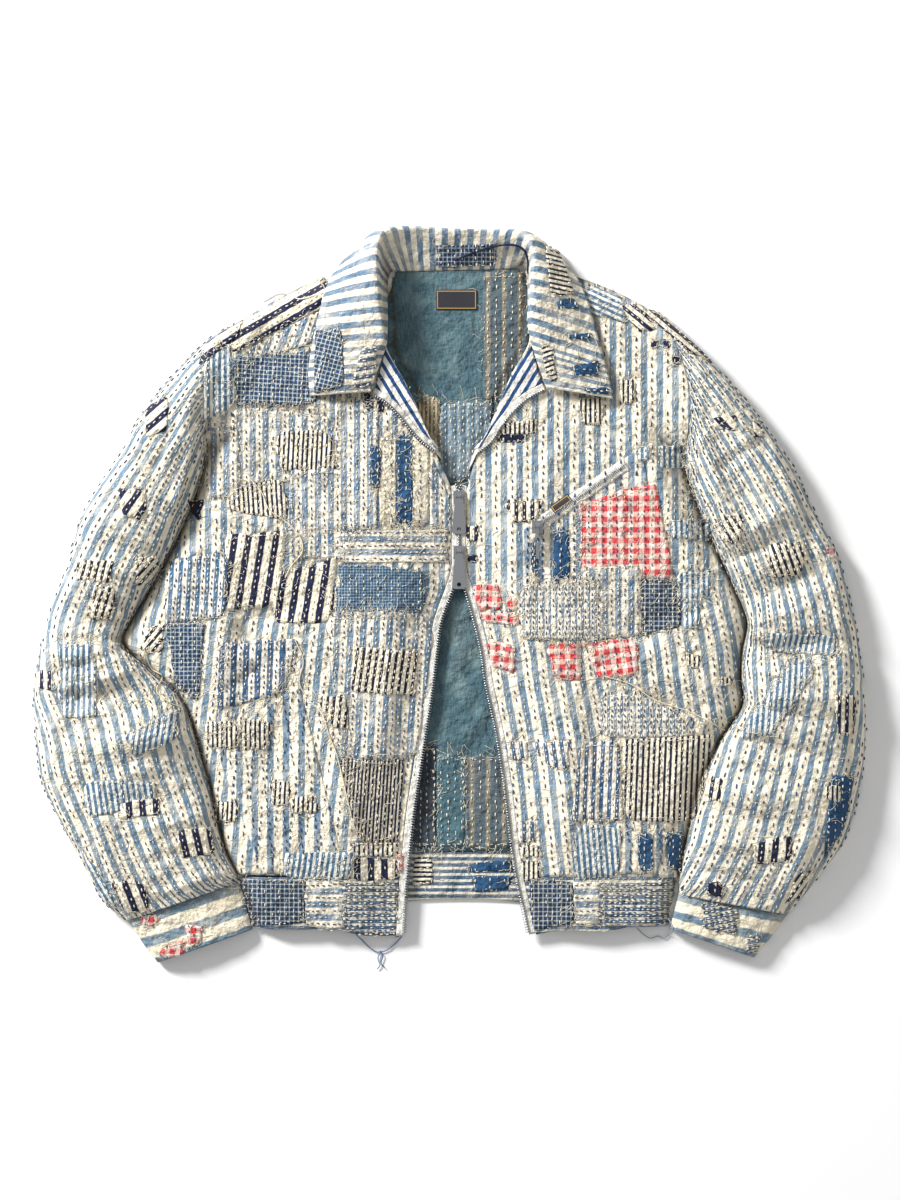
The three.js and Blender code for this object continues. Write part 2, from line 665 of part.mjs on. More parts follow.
function cuffGrid(stations, points = 20) {
  const foot = 4;
  return evenSteps(0, stations.length - 1, 4).map((t) => {
    const row = rowAt(stations, t);
    return Array.from({ length: points }, (_, k) => {
      const turn = (2 * Math.PI * k) / points;
      const c = Math.cos(turn);
      const s = Math.sin(turn);
      const chord = 0.5 * (1 - Math.sign(c) * Math.abs(c) ** 0.85);
      const top = foot + (row.height - foot) * Math.max(0, s) ** 0.75;
      const bottom = Math.max(0, foot - 2 * foot * Math.abs(s));
      const z = s >= 0 ? top : bottom;
      return plan(mix(row.outX, row.inX, chord), mix(row.outY, row.inY, chord), z);
    });
  });
}

const HEM_CHORDS = [0, 0.01, 0.05, 0.12, 0.24, 0.42, 0.6, 0.78, 0.9, 1];

function hemGrid(rows) {
  return evenSteps(0, rows.length - 1, 4).map((t) => {
    const row = rowAt(rows, t);
    const width = Math.abs(row.inX - row.outX);
    return HEM_CHORDS.map((c) => {
      const x = mix(row.outX, row.inX, c);
      const y = mix(row.outY, row.inY, c) + Math.sin(3 * Math.PI * c) * row.sag;
      const side = roundRise((c * width) / (0.8 * SIDE_ROUND));
      const z = mix(row.inZ, row.crown * side, smooth(((1 - c) * width) / EDGE_BLEND));
      return plan(x, y, z);
    });
  });
}

const BACK_HEM_LIFT = 25;
const BACK_CHORDS = [0, 0.35, 0.7, 1];
const BACK_STEPS = [0.72, ...evenSteps(1, 19, 22)];

/** Flat back, inside the feet of the fronts, with a hem seam that curves up in the middle. */
function backGrid(level) {
  return BACK_STEPS.map((t) => {
    const seamed = smooth(SIDE_START - t) * clamp01((t - 0.8) / 1.6);
    const inset = mix(FLOOR_INSET + SIDE_GAP + 0.4, 2.6 * ARMHOLE_GAP, seamed);
    const left = frontRow("front_left", t, inset);
    const right = frontRow("front_right", t, inset);
    const rise = BACK_HEM_LIFT * clamp01((t - 14) / 5) ** 2;
    const half = (row) => BACK_CHORDS.map((c) => [
      mix(row.outX, row.inX, c),
      mix(row.outY, row.inY, c) - 4 * c * (1 - c) * row.bow,
    ]);
    const centre = [(left.inX + right.inX) / 2, (left.inY + right.inY) / 2];
    const points = [...half(left), centre, ...half(right).reverse()];
    return points.map(([x, y]) => {
      const share = clamp01((x - left.outX) / (right.outX - left.outX));
      return plan(x, y - 4 * share * (1 - share) * rise, level);
    });
  });
}

/** Back lining, flat on the back, from the neck seam to the hem band, under the fronts' edges. */
function backLiningGrid() {
  const rows = rowsOf(["leftX", "leftY", "rightX", "rightY"], [
    [396, 272.3, 519, 269.3],
    [390, 292, 525, 290],
    [374, 322, 544, 322],
    [345, 360, 575, 360],
    [330, 420, 590, 420],
    [325, 500, 600, 500],
    [322, 590, 604, 590],
    [320, 680, 608, 680],
    [318, 770, 612, 770],
    [316, 851, 616, 851],
  ]);
  return evenSteps(0, rows.length - 1, 16).map((t) => {
    const row = rowAt(rows, t);
    return evenSteps(0, 1, 6).map((c) => {
      const x = mix(row.leftX, row.rightX, c);
      return plan(x, mix(row.leftY, row.rightY, c), LINING_TOP);
    });
  });
}

/** Hem band of the back: doubled cloth, flat, under the hem bands of the fronts. */
function hemBackGrid() {
  const left = HEM_LEFT_ROWS;
  const right = HEM_RIGHT_ROWS;
  return [0, 1, 2].map((k) =>
    evenSteps(0, 1, 16).map((share) => {
      const inset = FLOOR_INSET + 1;
      const x = mix(left[k].outX + inset, right[k].outX - inset, share);
      const y = mix(left[0].outY, right[0].outY, share) + (k * (HEM_DEPTH - 2)) / 2 - 0.4;
      return plan(x, y - 4 * share * (1 - share) * BACK_HEM_LIFT, HEM_CLOTH);
    }),
  );
}

/** Collar: for each station a smooth profile from the neck seam over the roll to the free edge. */
function collarGrid() {
  const steps = evenSteps(0, COLLAR_STATIONS.length - 1, 38);
  return steps.map((t) => {
    const row = rowAt(COLLAR_STATIONS, t);
    const neck = plan(row.nx, row.ny, row.nz);
    const roll = plan(row.rx, row.ry, row.rz);
    const edge = plan(row.ex, row.ey, Math.max(0.4, row.ez));
    const away = roll.clone().sub(neck).setZ(0);
    away.normalize();
    const standMiddle = neck.clone().lerp(roll, 0.5);
    const leafMiddle = roll.clone().lerp(edge, 0.5).addScaledVector(away, row.swell);
    leafMiddle.z += 2;
    const profile = [neck, standMiddle, roll, leafMiddle, edge];
    const curve = new THREE.CatmullRomCurve3(profile, false, "centripetal");
    return [0, 0.12, 0.25, 0.34, 0.42, 0.5, 0.58, 0.7, 0.85, 1].map((s) => curve.getPoint(s));
  });
}

/** Height of the highest of several surfaces over a point of the plan, or null beside them. */
function heightOver(surfaces, x, y) {
  const heights = surfaces.map((grid) => facetHeight(grid, x, y)).filter((z) => z !== null);
  return heights.length ? Math.max(...heights) : null;
}

/** Cells of plan places laid on surfaces, lifted off them. */
function layOn(surfaces, cells, lift) {
  return cells.map((row) =>
    row.map(([x, y]) => {
      const z = heightOver(surfaces, x, y);
      return { x, y, z: z === null ? null : z + lift };
    }),
  );
}

/** Fills heights that fell beside the panel from the nearest one found. */
function settle(cells) {
  const known = cells.flat().filter((cell) => cell.z !== null);
  return cells.map((row) =>
    row.map((cell) => {
      if (cell.z !== null) {
        return plan(cell.x, cell.y, cell.z);
      }
      const near = known.reduce((best, other) => {
        const far = Math.hypot(other.x - cell.x, other.y - cell.y);
        return far < best.far ? { far, z: other.z } : best;
      }, { far: Infinity, z: 0 });
      return plan(cell.x, cell.y, near.z);
    }),
  );
}

/** Lifts a laid piece until its facets clear the surfaces under it by the gap all over. */
function clearOf(surfaces, grid, thickness) {
  const shares = evenSteps(0.01, 0.99, 8);
  let lift = 0;
  for (let i = 0; i < grid.length - 1; i += 1) {
    for (let j = 0; j < grid[0].length - 1; j += 1) {
      for (const a of shares) {
        for (const b of shares) {
          const low = grid[i][j].clone().lerp(grid[i + 1][j], a);
          const high = grid[i][j + 1].clone().lerp(grid[i + 1][j + 1], a);
          const p = low.lerp(high, b);
          const under = heightOver(surfaces, p.x + TABLE_CENTRE.x, TABLE_CENTRE.y - p.y);
          if (under !== null) {
            lift = Math.max(lift, under + LAID_GAP + thickness - p.z);
          }
        }
      }
    }
  }
  return grid.map((row) => row.map((p) => p.clone().setZ(p.z + lift)));
}

/** Patch with an outline between an oval and a rectangle, in rings about its middle. */
function patchGrid(surfaces, patch) {
  const turn = THREE.MathUtils.degToRad(patch.turn);
  const around = 16;
  const cells = [0.02, 0.5, 1].map((ring) =>
    Array.from({ length: around + 1 }, (_, k) => {
      const angle = (2 * Math.PI * k) / around;
      const c = Math.cos(angle);
      const s = Math.sin(angle);
      const power = patch.square;
      const reach = ring / (Math.abs(c) ** power + Math.abs(s) ** power) ** (1 / power);
      const u = c * reach * patch.halfX;
      const v = s * reach * patch.halfY;
      const x = patch.cx + u * Math.cos(turn) - v * Math.sin(turn);
      const y = patch.cy + u * Math.sin(turn) + v * Math.cos(turn);
      return [x, y];
    }),
  );
  return settle(layOn(surfaces, cells, PATCH_CLOTH + LAID_GAP));
}

/** Closed thin disc from rings of points: a fan in the middle and strips around it. */
function discGeometry(grid, thickness) {
  const rings = grid.length;
  const around = grid[0].length - 1;
  const middle = grid[0][0].clone().lerp(grid[0][around / 2], 0.5);
  const top = [middle, ...grid.slice(1).flatMap((ring) => ring.slice(0, around))];
  const bottom = top.map((p) => p.clone().setZ(p.z - thickness));
  const points = [...top, ...bottom];
  const shift = top.length;
  const at = (ring, k) => 1 + (ring - 1) * around + (k % around);
  const faces = [];
  for (let k = 0; k < around; k += 1) {
    faces.push([0, at(1, k + 1), at(1, k)]);
    faces.push([shift, at(1, k) + shift, at(1, k + 1) + shift]);
    for (let ring = 1; ring < rings - 1; ring += 1) {
      const a = at(ring, k);
      const b = at(ring, k + 1);
      const c = at(ring + 1, k + 1);
      const d = at(ring + 1, k);
      faces.push([a, b, c], [a, c, d]);
      faces.push([a + shift, c + shift, b + shift], [a + shift, d + shift, c + shift]);
    }
    const a = at(rings - 1, k);
    const b = at(rings - 1, k + 1);
    faces.push([a, b, b + shift], [a, b + shift, a + shift]);
  }
  return geometryOf(points, faces);
}

/** Four-cornered piece laid on surfaces. */
function quadGrid(surfaces, piece) {
  const cells = evenSteps(0, 1, piece.down).map((v) =>
    evenSteps(0, 1, piece.across).map((u) => {
      const x = mix(mix(piece.ax, piece.bx, u), mix(piece.dx, piece.cx, u), v);
      const y = mix(mix(piece.ay, piece.by, u), mix(piece.dy, piece.cy, u), v);
      return [x, y];
    }),
  );
  return settle(layOn(surfaces, cells, PATCH_CLOTH + LAID_GAP));
}

/** Tape beside its teeth line: pairs of teeth edge and sewn edge, with side 1 or -1. */
function tapeEdges(rows, steps, side, extra = 0) {
  return steps.map((t) => {
    const here = rowAt(rows, t);
    const next = rowAt(rows, Math.min(rows.length - 1, t + 0.1));
    const back = rowAt(rows, Math.max(0, t - 0.1));
    const way = new THREE.Vector2(next.tx - back.tx, next.ty - back.ty).normalize();
    const off = new THREE.Vector2(-way.y, way.x).multiplyScalar(side * (here.width + extra));
    return { teeth: [here.tx, here.ty], sewn: [here.tx + off.x, here.ty + off.y], z: here.z };
  });
}

const TAPE_STEPS = evenSteps(0, TAPE_LEFT.length - 1, 24);

/** x of a tape's sewn edge at a plan y. */
function sewnEdgeAt(tape, y) {
  const edge = tapeEdges(tape.rows, TAPE_STEPS, tape.side).map((pair) => pair.sewn);
  const k = clamp(edge.findIndex((p) => p[1] > y), 1, edge.length - 1);
  const [low, high] = [edge[k - 1], edge[k]];
  return mix(low[0], high[0], clamp01((y - low[1]) / (high[1] - low[1])));
}

/** Facing turned back over a front, from its roll edge to the tape's sewn edge. */
function facingGrid(surfaces, rows, tapeRows, side) {
  const steps = evenSteps(0, rows.length - 1, 8);
  const outer = tapeEdges(tapeRows, steps, side, SEAM_GAP);
  const cells = steps.map((t, k) => {
    const row = rowAt(rows, t);
    const [bx, by] = outer[k].sewn;
    return evenSteps(0, 1, 3).map((c) => [mix(row.ax, bx, c), mix(row.ay, by, c)]);
  });
  return settle(layOn(surfaces, cells, LAPEL_LIFT));
}

function lapelTapeGrid(surfaces, rows, side) {
  const edges = tapeEdges(rows, evenSteps(0, rows.length - 1, 12), side);
  return settle(layOn(surfaces, edges.map((pair) => [pair.teeth, pair.sewn]), LAPEL_LIFT));
}

function tapeGrid({ rows, side }) {
  return tapeEdges(rows, TAPE_STEPS, side).map(({ teeth, sewn, z }) => [
    plan(teeth[0], teeth[1], z),
    plan(sewn[0], sewn[1], z),
  ]);
}

// Hardware

function manifoldOf(geometry) {
  const plain = geometry.clone();
  plain.deleteAttribute("normal");
  plain.deleteAttribute("uv");
  const merged = mergeVertices(plain, 1e-4);
  return new wasm.Manifold(
    new wasm.Mesh({
      numProp: 3,
      vertProperties: new Float32Array(merged.attributes.position.array),
      triVerts: new Uint32Array(merged.index.array),
    }),
  );
}

function geometryFrom(solid) {
  const mesh = solid.getMesh();
  const geometry = new THREE.BufferGeometry();
  geometry.setAttribute("position", new THREE.BufferAttribute(mesh.vertProperties, 3));
  geometry.setIndex(new THREE.BufferAttribute(mesh.triVerts, 1));
  return geometry;
}

function block(width, depth, height, x, y, z) {
  return new THREE.BoxGeometry(width, depth, height).translate(x, y, z);
}

function barAlongX(radius, length, sides = 12) {
  return new THREE.CylinderGeometry(radius, radius, length, sides).rotateZ(Math.PI / 2);
}

/** Slider with its bridge bar at the origin: cover plate, two posts and the bar. */
function sliderGeometry() {
  const cover = block(11, 13, 1.6, 0, -1.5, -3.4);
  const reach = BRIDGE.half + 0.4 + BRIDGE.post / 2;
  const posts = [-1, 1].map((side) => block(BRIDGE.post, 3.4, 4.6, side * reach, 0, -0.9));
  const bar = barAlongX(BRIDGE.bar, 2 * reach);
  const solids = [cover, ...posts, bar].map(manifoldOf);
  return geometryFrom(solids.reduce((sum, solid) => sum.add(solid)));
}

/** Ring of a pull round the bridge bar, with a pull's plate joined to it and its bore cut. */
function pullOnBar(plate, droop) {
  const barrel = manifoldOf(barAlongX(BRIDGE.barrel, 2 * BRIDGE.half, 14));
  const bore = manifoldOf(barAlongX(BRIDGE.eye, 2 * BRIDGE.half + 2, 14));
  const solid = barrel.add(plate).subtract(bore);
  return geometryFrom(solid).rotateX(THREE.MathUtils.degToRad(droop));
}

/** Pull tab that hangs from the bridge bar towards the hem, with a small hole at its end. */
function pullGeometry() {
  const { length, topWidth, endWidth, plate, eye, droop } = PULL;
  const round = 3;
  const top = -BRIDGE.barrel - 0.6;
  const shape = new THREE.Shape();
  shape.moveTo(-topWidth / 2, top);
  shape.lineTo(-endWidth / 2, -length + round);
  shape.quadraticCurveTo(-endWidth / 2, -length, -endWidth / 2 + round, -length);
  shape.lineTo(endWidth / 2 - round, -length);
  shape.quadraticCurveTo(endWidth / 2, -length, endWidth / 2, -length + round);
  shape.lineTo(topWidth / 2, top);
  shape.closePath();
  const hole = new THREE.Path();
  hole.absarc(0, -length + 2 * eye, eye, 0, 2 * Math.PI, true);
  shape.holes.push(hole);
  const options = { depth: plate, bevelEnabled: false, curveSegments: 4 };
  const blade = new THREE.ExtrudeGeometry(shape, options).translate(0, 0, -plate / 2);
  const neck = block(2 * BRIDGE.half, 3, plate, 0, -BRIDGE.barrel, 0);
  return pullOnBar(manifoldOf(blade).add(manifoldOf(neck)), droop);
}

/** Chain pull of the chest pocket: a link, a ring and a tip, in one flat piece. */
function chainPullGeometry() {
  const { width, ring, hole, ringAt, tip, plate, droop } = CHAIN;
  const disc = (radius, height) =>
    manifoldOf(
      new THREE.CylinderGeometry(radius, radius, height, 16)
        .rotateX(Math.PI / 2)
        .translate(0, -ringAt, 0),
    );
  const stemLength = ringAt - ring - 0.8;
  const stem = manifoldOf(block(width, stemLength, plate, 0, -1.8 - stemLength / 2, 0));
  const end = manifoldOf(block(width + 1, tip, plate, 0, -ringAt - ring - tip / 2 + 0.8, 0));
  return pullOnBar(disc(ring, plate).subtract(disc(hole, 2 * plate)).add(stem).add(end), droop);
}

/** Hanger loop: a cord along a low arc between two points of the stand. */
function hangerLoopGeometry(points) {
  const curve = new THREE.CatmullRomCurve3(points);
  const section = new THREE.Shape();
  section.absarc(0, 0, 1.3, 0, 2 * Math.PI);
  return new THREE.ExtrudeGeometry(section, {
    steps: 14,
    extrudePath: curve,
    curveSegments: 2,
    bevelEnabled: false,
  });
}

// Assembly

const jacket = new THREE.Group();

function addPiece(name, geometry, colour, { metal = false, at = null } = {}) {
  const material = new THREE.MeshStandardMaterial({
    color: COLOURS[colour],
    roughness: metal ? 0.35 : 0.9,
    metalness: metal ? 0.9 : 0,
  });
  const mesh = new THREE.Mesh(geometry, material);
  mesh.name = name;
  if (at) {
    mesh.position.copy(at);
  }
  jacket.add(mesh);
}

function addBody() {
  addPiece("back", sheetGeometry(backGrid(BACK_CLOTH), BACK_CLOTH, { flat: true }), "stripe");
  addPiece("back_lining", sheetGeometry(backLiningGrid(), LINING), "lining");
  addPiece("hem_back", sheetGeometry(hemBackGrid(), HEM_CLOTH), "stripe");
  addPiece("front_left", sheetGeometry(panels.front_left, CLOTH), "stripe");
  addPiece("front_right", sheetGeometry(panels.front_right, CLOTH), "stripe");
  addPiece("hem_front_left", sheetGeometry(hemGrid(HEM_LEFT_ROWS), CLOTH), "check");
  addPiece("hem_front_right", sheetGeometry(hemGrid(HEM_RIGHT_ROWS), CLOTH), "check");
}

function addSleeves() {
  for (const [side, stations, cuff] of [
    ["left", SLEEVE_LEFT_STATIONS, CUFF_LEFT_STATIONS],
    ["right", SLEEVE_RIGHT_STATIONS, CUFF_RIGHT_STATIONS],
  ]) {
    addPiece(`sleeve_${side}_upper`, sheetGeometry(panels[`sleeve_${side}_upper`], CLOTH), "stripe");
    const under = sheetGeometry(underSleeveGrid(stations), BACK_CLOTH, { flat: true });
    addPiece(`sleeve_${side}_under`, under, "stripe");
    const flip = side === "right";
    addPiece(`cuff_${side}`, sheetGeometry(cuffGrid(cuff), CLOTH, { ring: true, flip }), "stripe");
  }
}

function addCollarAndFacings() {
  const collar = collarGrid();
  addPiece("collar", sheetGeometry(collar, CLOTH), "stripe");
  const left = facingGrid([panels.front_left], FACING_LEFT_ROWS, LAPEL_TAPE_LEFT, -1);
  const right = facingGrid([panels.front_right], FACING_RIGHT_ROWS, LAPEL_TAPE_RIGHT, 1);
  addPiece("facing_left", sheetGeometry(left, LINING), "check");
  addPiece("facing_right", sheetGeometry(right, LINING), "check");
  const loop = evenSteps(0, 1, 4).map((share) => {
    const p = pointIn(collar, mix(18.4, 21.4, share), 1 + 1.6 * Math.sin(Math.PI * share));
    return p.setZ(p.z + LOOP_LIFT);
  });
  addPiece("hanger_loop", hangerLoopGeometry(loop), "denim");
}

function addZip() {
  const lapelLeft = lapelTapeGrid([panels.front_left], LAPEL_TAPE_LEFT, -1);
  const lapelRight = lapelTapeGrid([panels.front_right], LAPEL_TAPE_RIGHT, 1);
  addPiece("zip_tape_lapel_left", sheetGeometry(lapelLeft, LINING), "tape");
  addPiece("zip_tape_lapel_right", sheetGeometry(lapelRight, LINING), "tape");
  addPiece("zip_tape_left", sheetGeometry(tapeGrid(FRONTS.front_left.tape), TAPE_CLOTH), "tape");
  addPiece("zip_tape_right", sheetGeometry(tapeGrid(FRONTS.front_right.tape), TAPE_CLOTH), "tape");
  for (const [name, y] of [["upper", 496], ["lower", 551]]) {
    const at = plan(ZIP_CENTRE, y, TAPE_TOP + BRIDGE_HEIGHT);
    addPiece(`zip_slider_${name}`, sliderGeometry(), "metal", { metal: true, at });
    addPiece(`zip_pull_${name}`, pullGeometry(), "metal", { metal: true, at });
  }
}

function surfacesUnder(piece) {
  return piece.on.split(" ").map((name) => panels[name]);
}

function addPatchesAndPockets() {
  for (const piece of QUAD_PIECES) {
    const surfaces = surfacesUnder(piece);
    panels[piece.name] = clearOf(surfaces, quadGrid(surfaces, piece), PATCH_CLOTH);
    addPiece(piece.name, sheetGeometry(panels[piece.name], PATCH_CLOTH), piece.colour);
  }
  for (const patch of PATCHES) {
    const surfaces = surfacesUnder(patch);
    const grid = clearOf(surfaces, patchGrid(surfaces, patch), PATCH_CLOTH);
    addPiece(patch.name, discGeometry(grid, PATCH_CLOTH), patch.colour);
  }
  const under = [panels.pocket_chest, panels.pocket_chest_zip];
  const heights = [[-6, -6], [6, -6], [-6, 9], [6, 9], [0, 0]].map(([dx, dy]) =>
    heightOver(under, POCKET_SLIDER.x + dx, POCKET_SLIDER.y + dy) ?? 0,
  );
  const rise = Math.max(...heights) + BRIDGE_HEIGHT + 0.6;
  const at = plan(POCKET_SLIDER.x, POCKET_SLIDER.y, rise);
  addPiece("pocket_slider", sliderGeometry(), "metal", { metal: true, at });
  addPiece("pocket_pull", chainPullGeometry(), "metal", { metal: true, at });
}

function addNeckLabel() {
  const corners = [[436, 290], [477, 310]];
  const z = LINING_TOP + 0.4 + PATCH_CLOTH;
  const grid = evenSteps(corners[0][1], corners[1][1], 1).map((y) =>
    evenSteps(corners[0][0], corners[1][0], 1).map((x) => plan(x, y, z)),
  );
  addPiece("label_neck_blank", sheetGeometry(grid, PATCH_CLOTH), "label");
}

const panels = {
  sleeve_left_upper: sleeveGrid(SLEEVE_LEFT_STATIONS),
  sleeve_right_upper: sleeveGrid(SLEEVE_RIGHT_STATIONS),
};
const FRONTS = {
  front_left: {
    rows: FRONT_LEFT_ROWS,
    sleeve: "sleeve_left_upper",
    tape: { rows: TAPE_LEFT, side: 1 },
    side: 1,
  },
  front_right: {
    rows: FRONT_RIGHT_ROWS,
    sleeve: "sleeve_right_upper",
    tape: { rows: TAPE_RIGHT, side: -1 },
    side: -1,
  },
};
panels.front_left = frontGrid("front_left");
panels.front_right = frontGrid("front_right");

addBody();
addSleeves();
addCollarAndFacings();
addZip();
addPatchesAndPockets();
addNeckLabel();

export default jacket;
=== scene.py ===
import json
import logging
import math
from dataclasses import dataclass, field
from enum import Enum

import bpy
import numpy as np
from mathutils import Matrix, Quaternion, Vector


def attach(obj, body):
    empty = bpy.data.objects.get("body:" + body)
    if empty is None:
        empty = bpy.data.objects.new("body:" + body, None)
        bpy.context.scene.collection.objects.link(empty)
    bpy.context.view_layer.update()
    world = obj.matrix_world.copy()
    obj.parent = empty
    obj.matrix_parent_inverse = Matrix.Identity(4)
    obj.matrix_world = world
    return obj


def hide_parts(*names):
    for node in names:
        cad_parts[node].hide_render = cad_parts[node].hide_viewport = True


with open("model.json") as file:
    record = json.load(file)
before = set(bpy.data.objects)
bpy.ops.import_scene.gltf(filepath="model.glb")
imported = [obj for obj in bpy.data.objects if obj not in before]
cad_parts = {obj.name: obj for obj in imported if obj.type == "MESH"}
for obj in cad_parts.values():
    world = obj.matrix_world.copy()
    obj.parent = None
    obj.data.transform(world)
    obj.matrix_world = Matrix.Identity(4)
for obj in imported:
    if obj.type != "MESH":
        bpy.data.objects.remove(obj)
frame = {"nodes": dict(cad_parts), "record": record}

LOG = logging.getLogger("jacket")
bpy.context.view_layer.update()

# Plan positions are millimetres on a laying-out table: x to the right and y towards the hem.
TABLE_CENTRE = (449.69, 594.78)
MM = 0.001
CLOTH = 1.2
THIN = 0.8
SEAM = 0.3
HEM_DEPTH = 50.0
BACK_HEM_LIFT = 25.0
ROLL_END = 486.0
SIDE_ROUND = 34.0
EDGE_BLEND = 52.0
FOLD_GAIN = 1.3
STRIPE = 15.5
HEM_SEAM = 876.4
TAPE_WIDTH = 6.6
PALE = (0.8, 1.0)
LOWER_SLIDER = 590.0
OWN_CUFF, OWN_HEM, OWN_POCKET = 5, 6, 7
LINING_TOP = 3.5
BODY = "garment"

Array = np.ndarray
Pair = tuple[Array, Array]
Surface = tuple[Array, Array, Array]
Piece = bpy.types.Object
Socket = bpy.types.NodeSocket


# Small formulas


def smooth(t: Array) -> Array:
    """Eases 0 to 1: 3 s squared less 2 s cubed."""
    s = np.clip(t, 0, 1)
    return s * s * (3 - 2 * s)


def round_rise(t: Array) -> Array:
    """Quarter ellipse from 0 at t = 0 to 1 at t = 1."""
    s = 1 - np.clip(t, 0, 1)
    return np.sqrt(1 - s * s)


def mix(a: Array, b: Array, t: Array) -> Array:
    """Straight blend from a to b."""
    return a + (b - a) * t


def rumple(x: Array, y: Array, pitch: float, seed: int) -> Array:
    """Soft bumps between -1 and 1: random heights on a square lattice, eased between its corners.

    Args:
        x: plan x.
        y: plan y.
        pitch: lattice spacing in millimetres.
        seed: number of the random draw.

    Returns:
        The bump at each place.
    """
    lattice = np.random.default_rng(seed).uniform(-1, 1, (128, 128))
    gx, gy = np.asarray(x) / pitch, np.asarray(y) / pitch
    i, j = np.floor(gx).astype(int), np.floor(gy).astype(int)
    u, v = smooth(gx - i), smooth(gy - j)
    i, j, after_i, after_j = i % 128, j % 128, (i + 1) % 128, (j + 1) % 128
    near = mix(lattice[i, j], lattice[after_i, j], u)
    return mix(near, mix(lattice[i, after_j], lattice[after_i, after_j], u), v)


def numbers(text: str) -> Array:
    """Table of numbers: rows end at semicolons, columns at spaces or commas."""
    return np.array([[float(v) for v in row.replace(",", " ").split()] for row in text.split(";")])


def between(corners: Array, s: Array, t: Array) -> Pair:
    """Plan place blended between four corners: s along the first side, t down to the last."""
    a, b, c, d = corners
    x = mix(mix(a[0], b[0], s), mix(d[0], c[0], s), t)
    return x, mix(mix(a[1], b[1], s), mix(d[1], c[1], s), t)


def turned(x: Array, y: Array, grain: float) -> Pair:
    """Cloth position of plan places on cloth whose grain is turned by some degrees."""
    c, s = math.cos(math.radians(grain)), math.sin(math.radians(grain))
    return x * c + y * s, y * c - x * s


class Rows:
    """Named columns of a given table, read between its rows along a Catmull-Rom curve."""

    def __init__(self, columns: str, rows: str) -> None:
        """Keeps the columns by name.

        Args:
            columns: names with spaces between them.
            rows: the table, as numbers reads it.
        """
        values = numbers(rows)
        self.columns = {name: values[:, k] for k, name in enumerate(columns.split())}
        self.last = len(values) - 1

    def at(self, name: str, t: Array) -> Array:
        """Value of one column at fractional row numbers.

        Args:
            name: the column.
            t: fractional row numbers.

        Returns:
            One value for each row number.
        """
        p = self.columns[name]
        padded = np.concatenate([[2 * p[0] - p[1]], p, [2 * p[-1] - p[-2]]])
        t = np.asarray(t, float)
        k = np.clip(np.floor(t).astype(int), 0, self.last - 1)
        f = t - k
        p0, p1, p2, p3 = (padded[k + n] for n in range(4))
        square, cube = 2 * p0 - 5 * p1 + 4 * p2 - p3, 3 * p1 - p0 - 3 * p2 + p3
        return 0.5 * (2 * p1 + (p2 - p0) * f + square * f**2 + cube * f**3)


FRONT_COLUMNS = "station turn inX inY bow inZ crown"
FRONT_LEFT = Rows(FRONT_COLUMNS, """
0 0 386 273 13 0 0; 0 0.24 386 286 11 6 15; 0 0.4 387 303 8 9 17; 0 0.56 387 325 6 16 18;
0 0.74 387 349 4 23 19; 0 0.96 407 386 3 22 20; 1 1 423 421 2 19 20; 2 1 436 454 1 15 20;
3 1 451 490 0 11 20; 4 1 451.6 522 0 11 20; 5 1 451.6 556 0 11 20; 6 1 445 590 0 11 20;
7 1 433.5 622 0 10.5 21; 8 1 429 655 0 10.5 21; 9 1 424.5 692 0 10.5 20; 9.5 1 419 728 0 10.5 20;
10 1 413.5 764 0 10.5 19; 11 1 406.5 810 0 10.5 19; 12 1 402 850 0 10 18; 13 1 399.5 876 0 10 16
""")
FRONT_RIGHT = Rows(FRONT_COLUMNS, """
0 0 530 267 7 0 0; 0 0.24 530 284 7 6 15; 0 0.4 529 302 4 9 17; 0 0.56 529 322 2 15 18;
0 0.74 528 345 1 22 19; 0 0.96 512 374 0 22 20; 1 1 494 416 0 19 20; 2 1 478 452 0 15 20;
3 1 468 488 0 11 20; 4 1 466.4 522 0 11 20; 5 1 466.4 556 0 11 20; 6 1 473 590 0 11 20;
7 1 482 622 0 10.5 21; 8 1 489 650 0 10.5 21; 9 1 493 680 0 10.5 20; 9.5 1 499 709 0 10.5 20;
10 1 505.5 741 0 10.5 19; 11 1 512.5 788 0 10.5 19; 12 1 519 842 0 10 18; 13 1 524 876 0 10 16
""")
SLEEVE_COLUMNS = "outX outY inX inY bow height"
SLEEVE_LEFT = Rows(SLEEVE_COLUMNS, """
243 319.4 206 449 6 27; 206 342 203 471 5 33; 171 378 192 505 3 37; 142 415 180 532 2 38;
115 461 165 562 1 37; 84 512 148 592 0 36; 67 568 131 620 0 34; 47 622 123 644 0 33;
35 686 150 670 0 37; 36 733 182 700 0 39; 42 780 201 757 0 39; 61 822 214 805 0 37; 82 861 224 847 0 33;
103 900 237 874 0 27; 126 920.5 239.5 881 0 22
""")
SLEEVE_RIGHT = Rows(SLEEVE_COLUMNS, """
652 310.4 684 453 18 27; 681 333 686 473 13 33; 711 362 695 499 8 37; 741 394 708 532 6 38;
769 431 722 562 3 37; 795 470 735 590 0 36; 813 510 747 622 0 35; 838 556 742 651 0 34;
852 610 741 677 0 35; 861 665 742 706 0 38; 865 725 720 741 0 39; 860 785 699 788 0 38;
845 838 686 841 0 34; 817 878 679 877 0 27; 789 914 678.5 893.5 0 22
""")
CUFF_COLUMNS = "outX outY inX inY height"
CUFF_LEFT = Rows(CUFF_COLUMNS, """
128 918 240.2 880.4 19; 142 941 247 906 17; 158 962 253 929 15
""")
CUFF_RIGHT = Rows(CUFF_COLUMNS, """
788 912.4 678.4 892.4 19; 771 936 673.5 912 17; 754 957 669 928 15
""")
HEM_COLUMNS = "outX outY inX inY sag inZ crown"
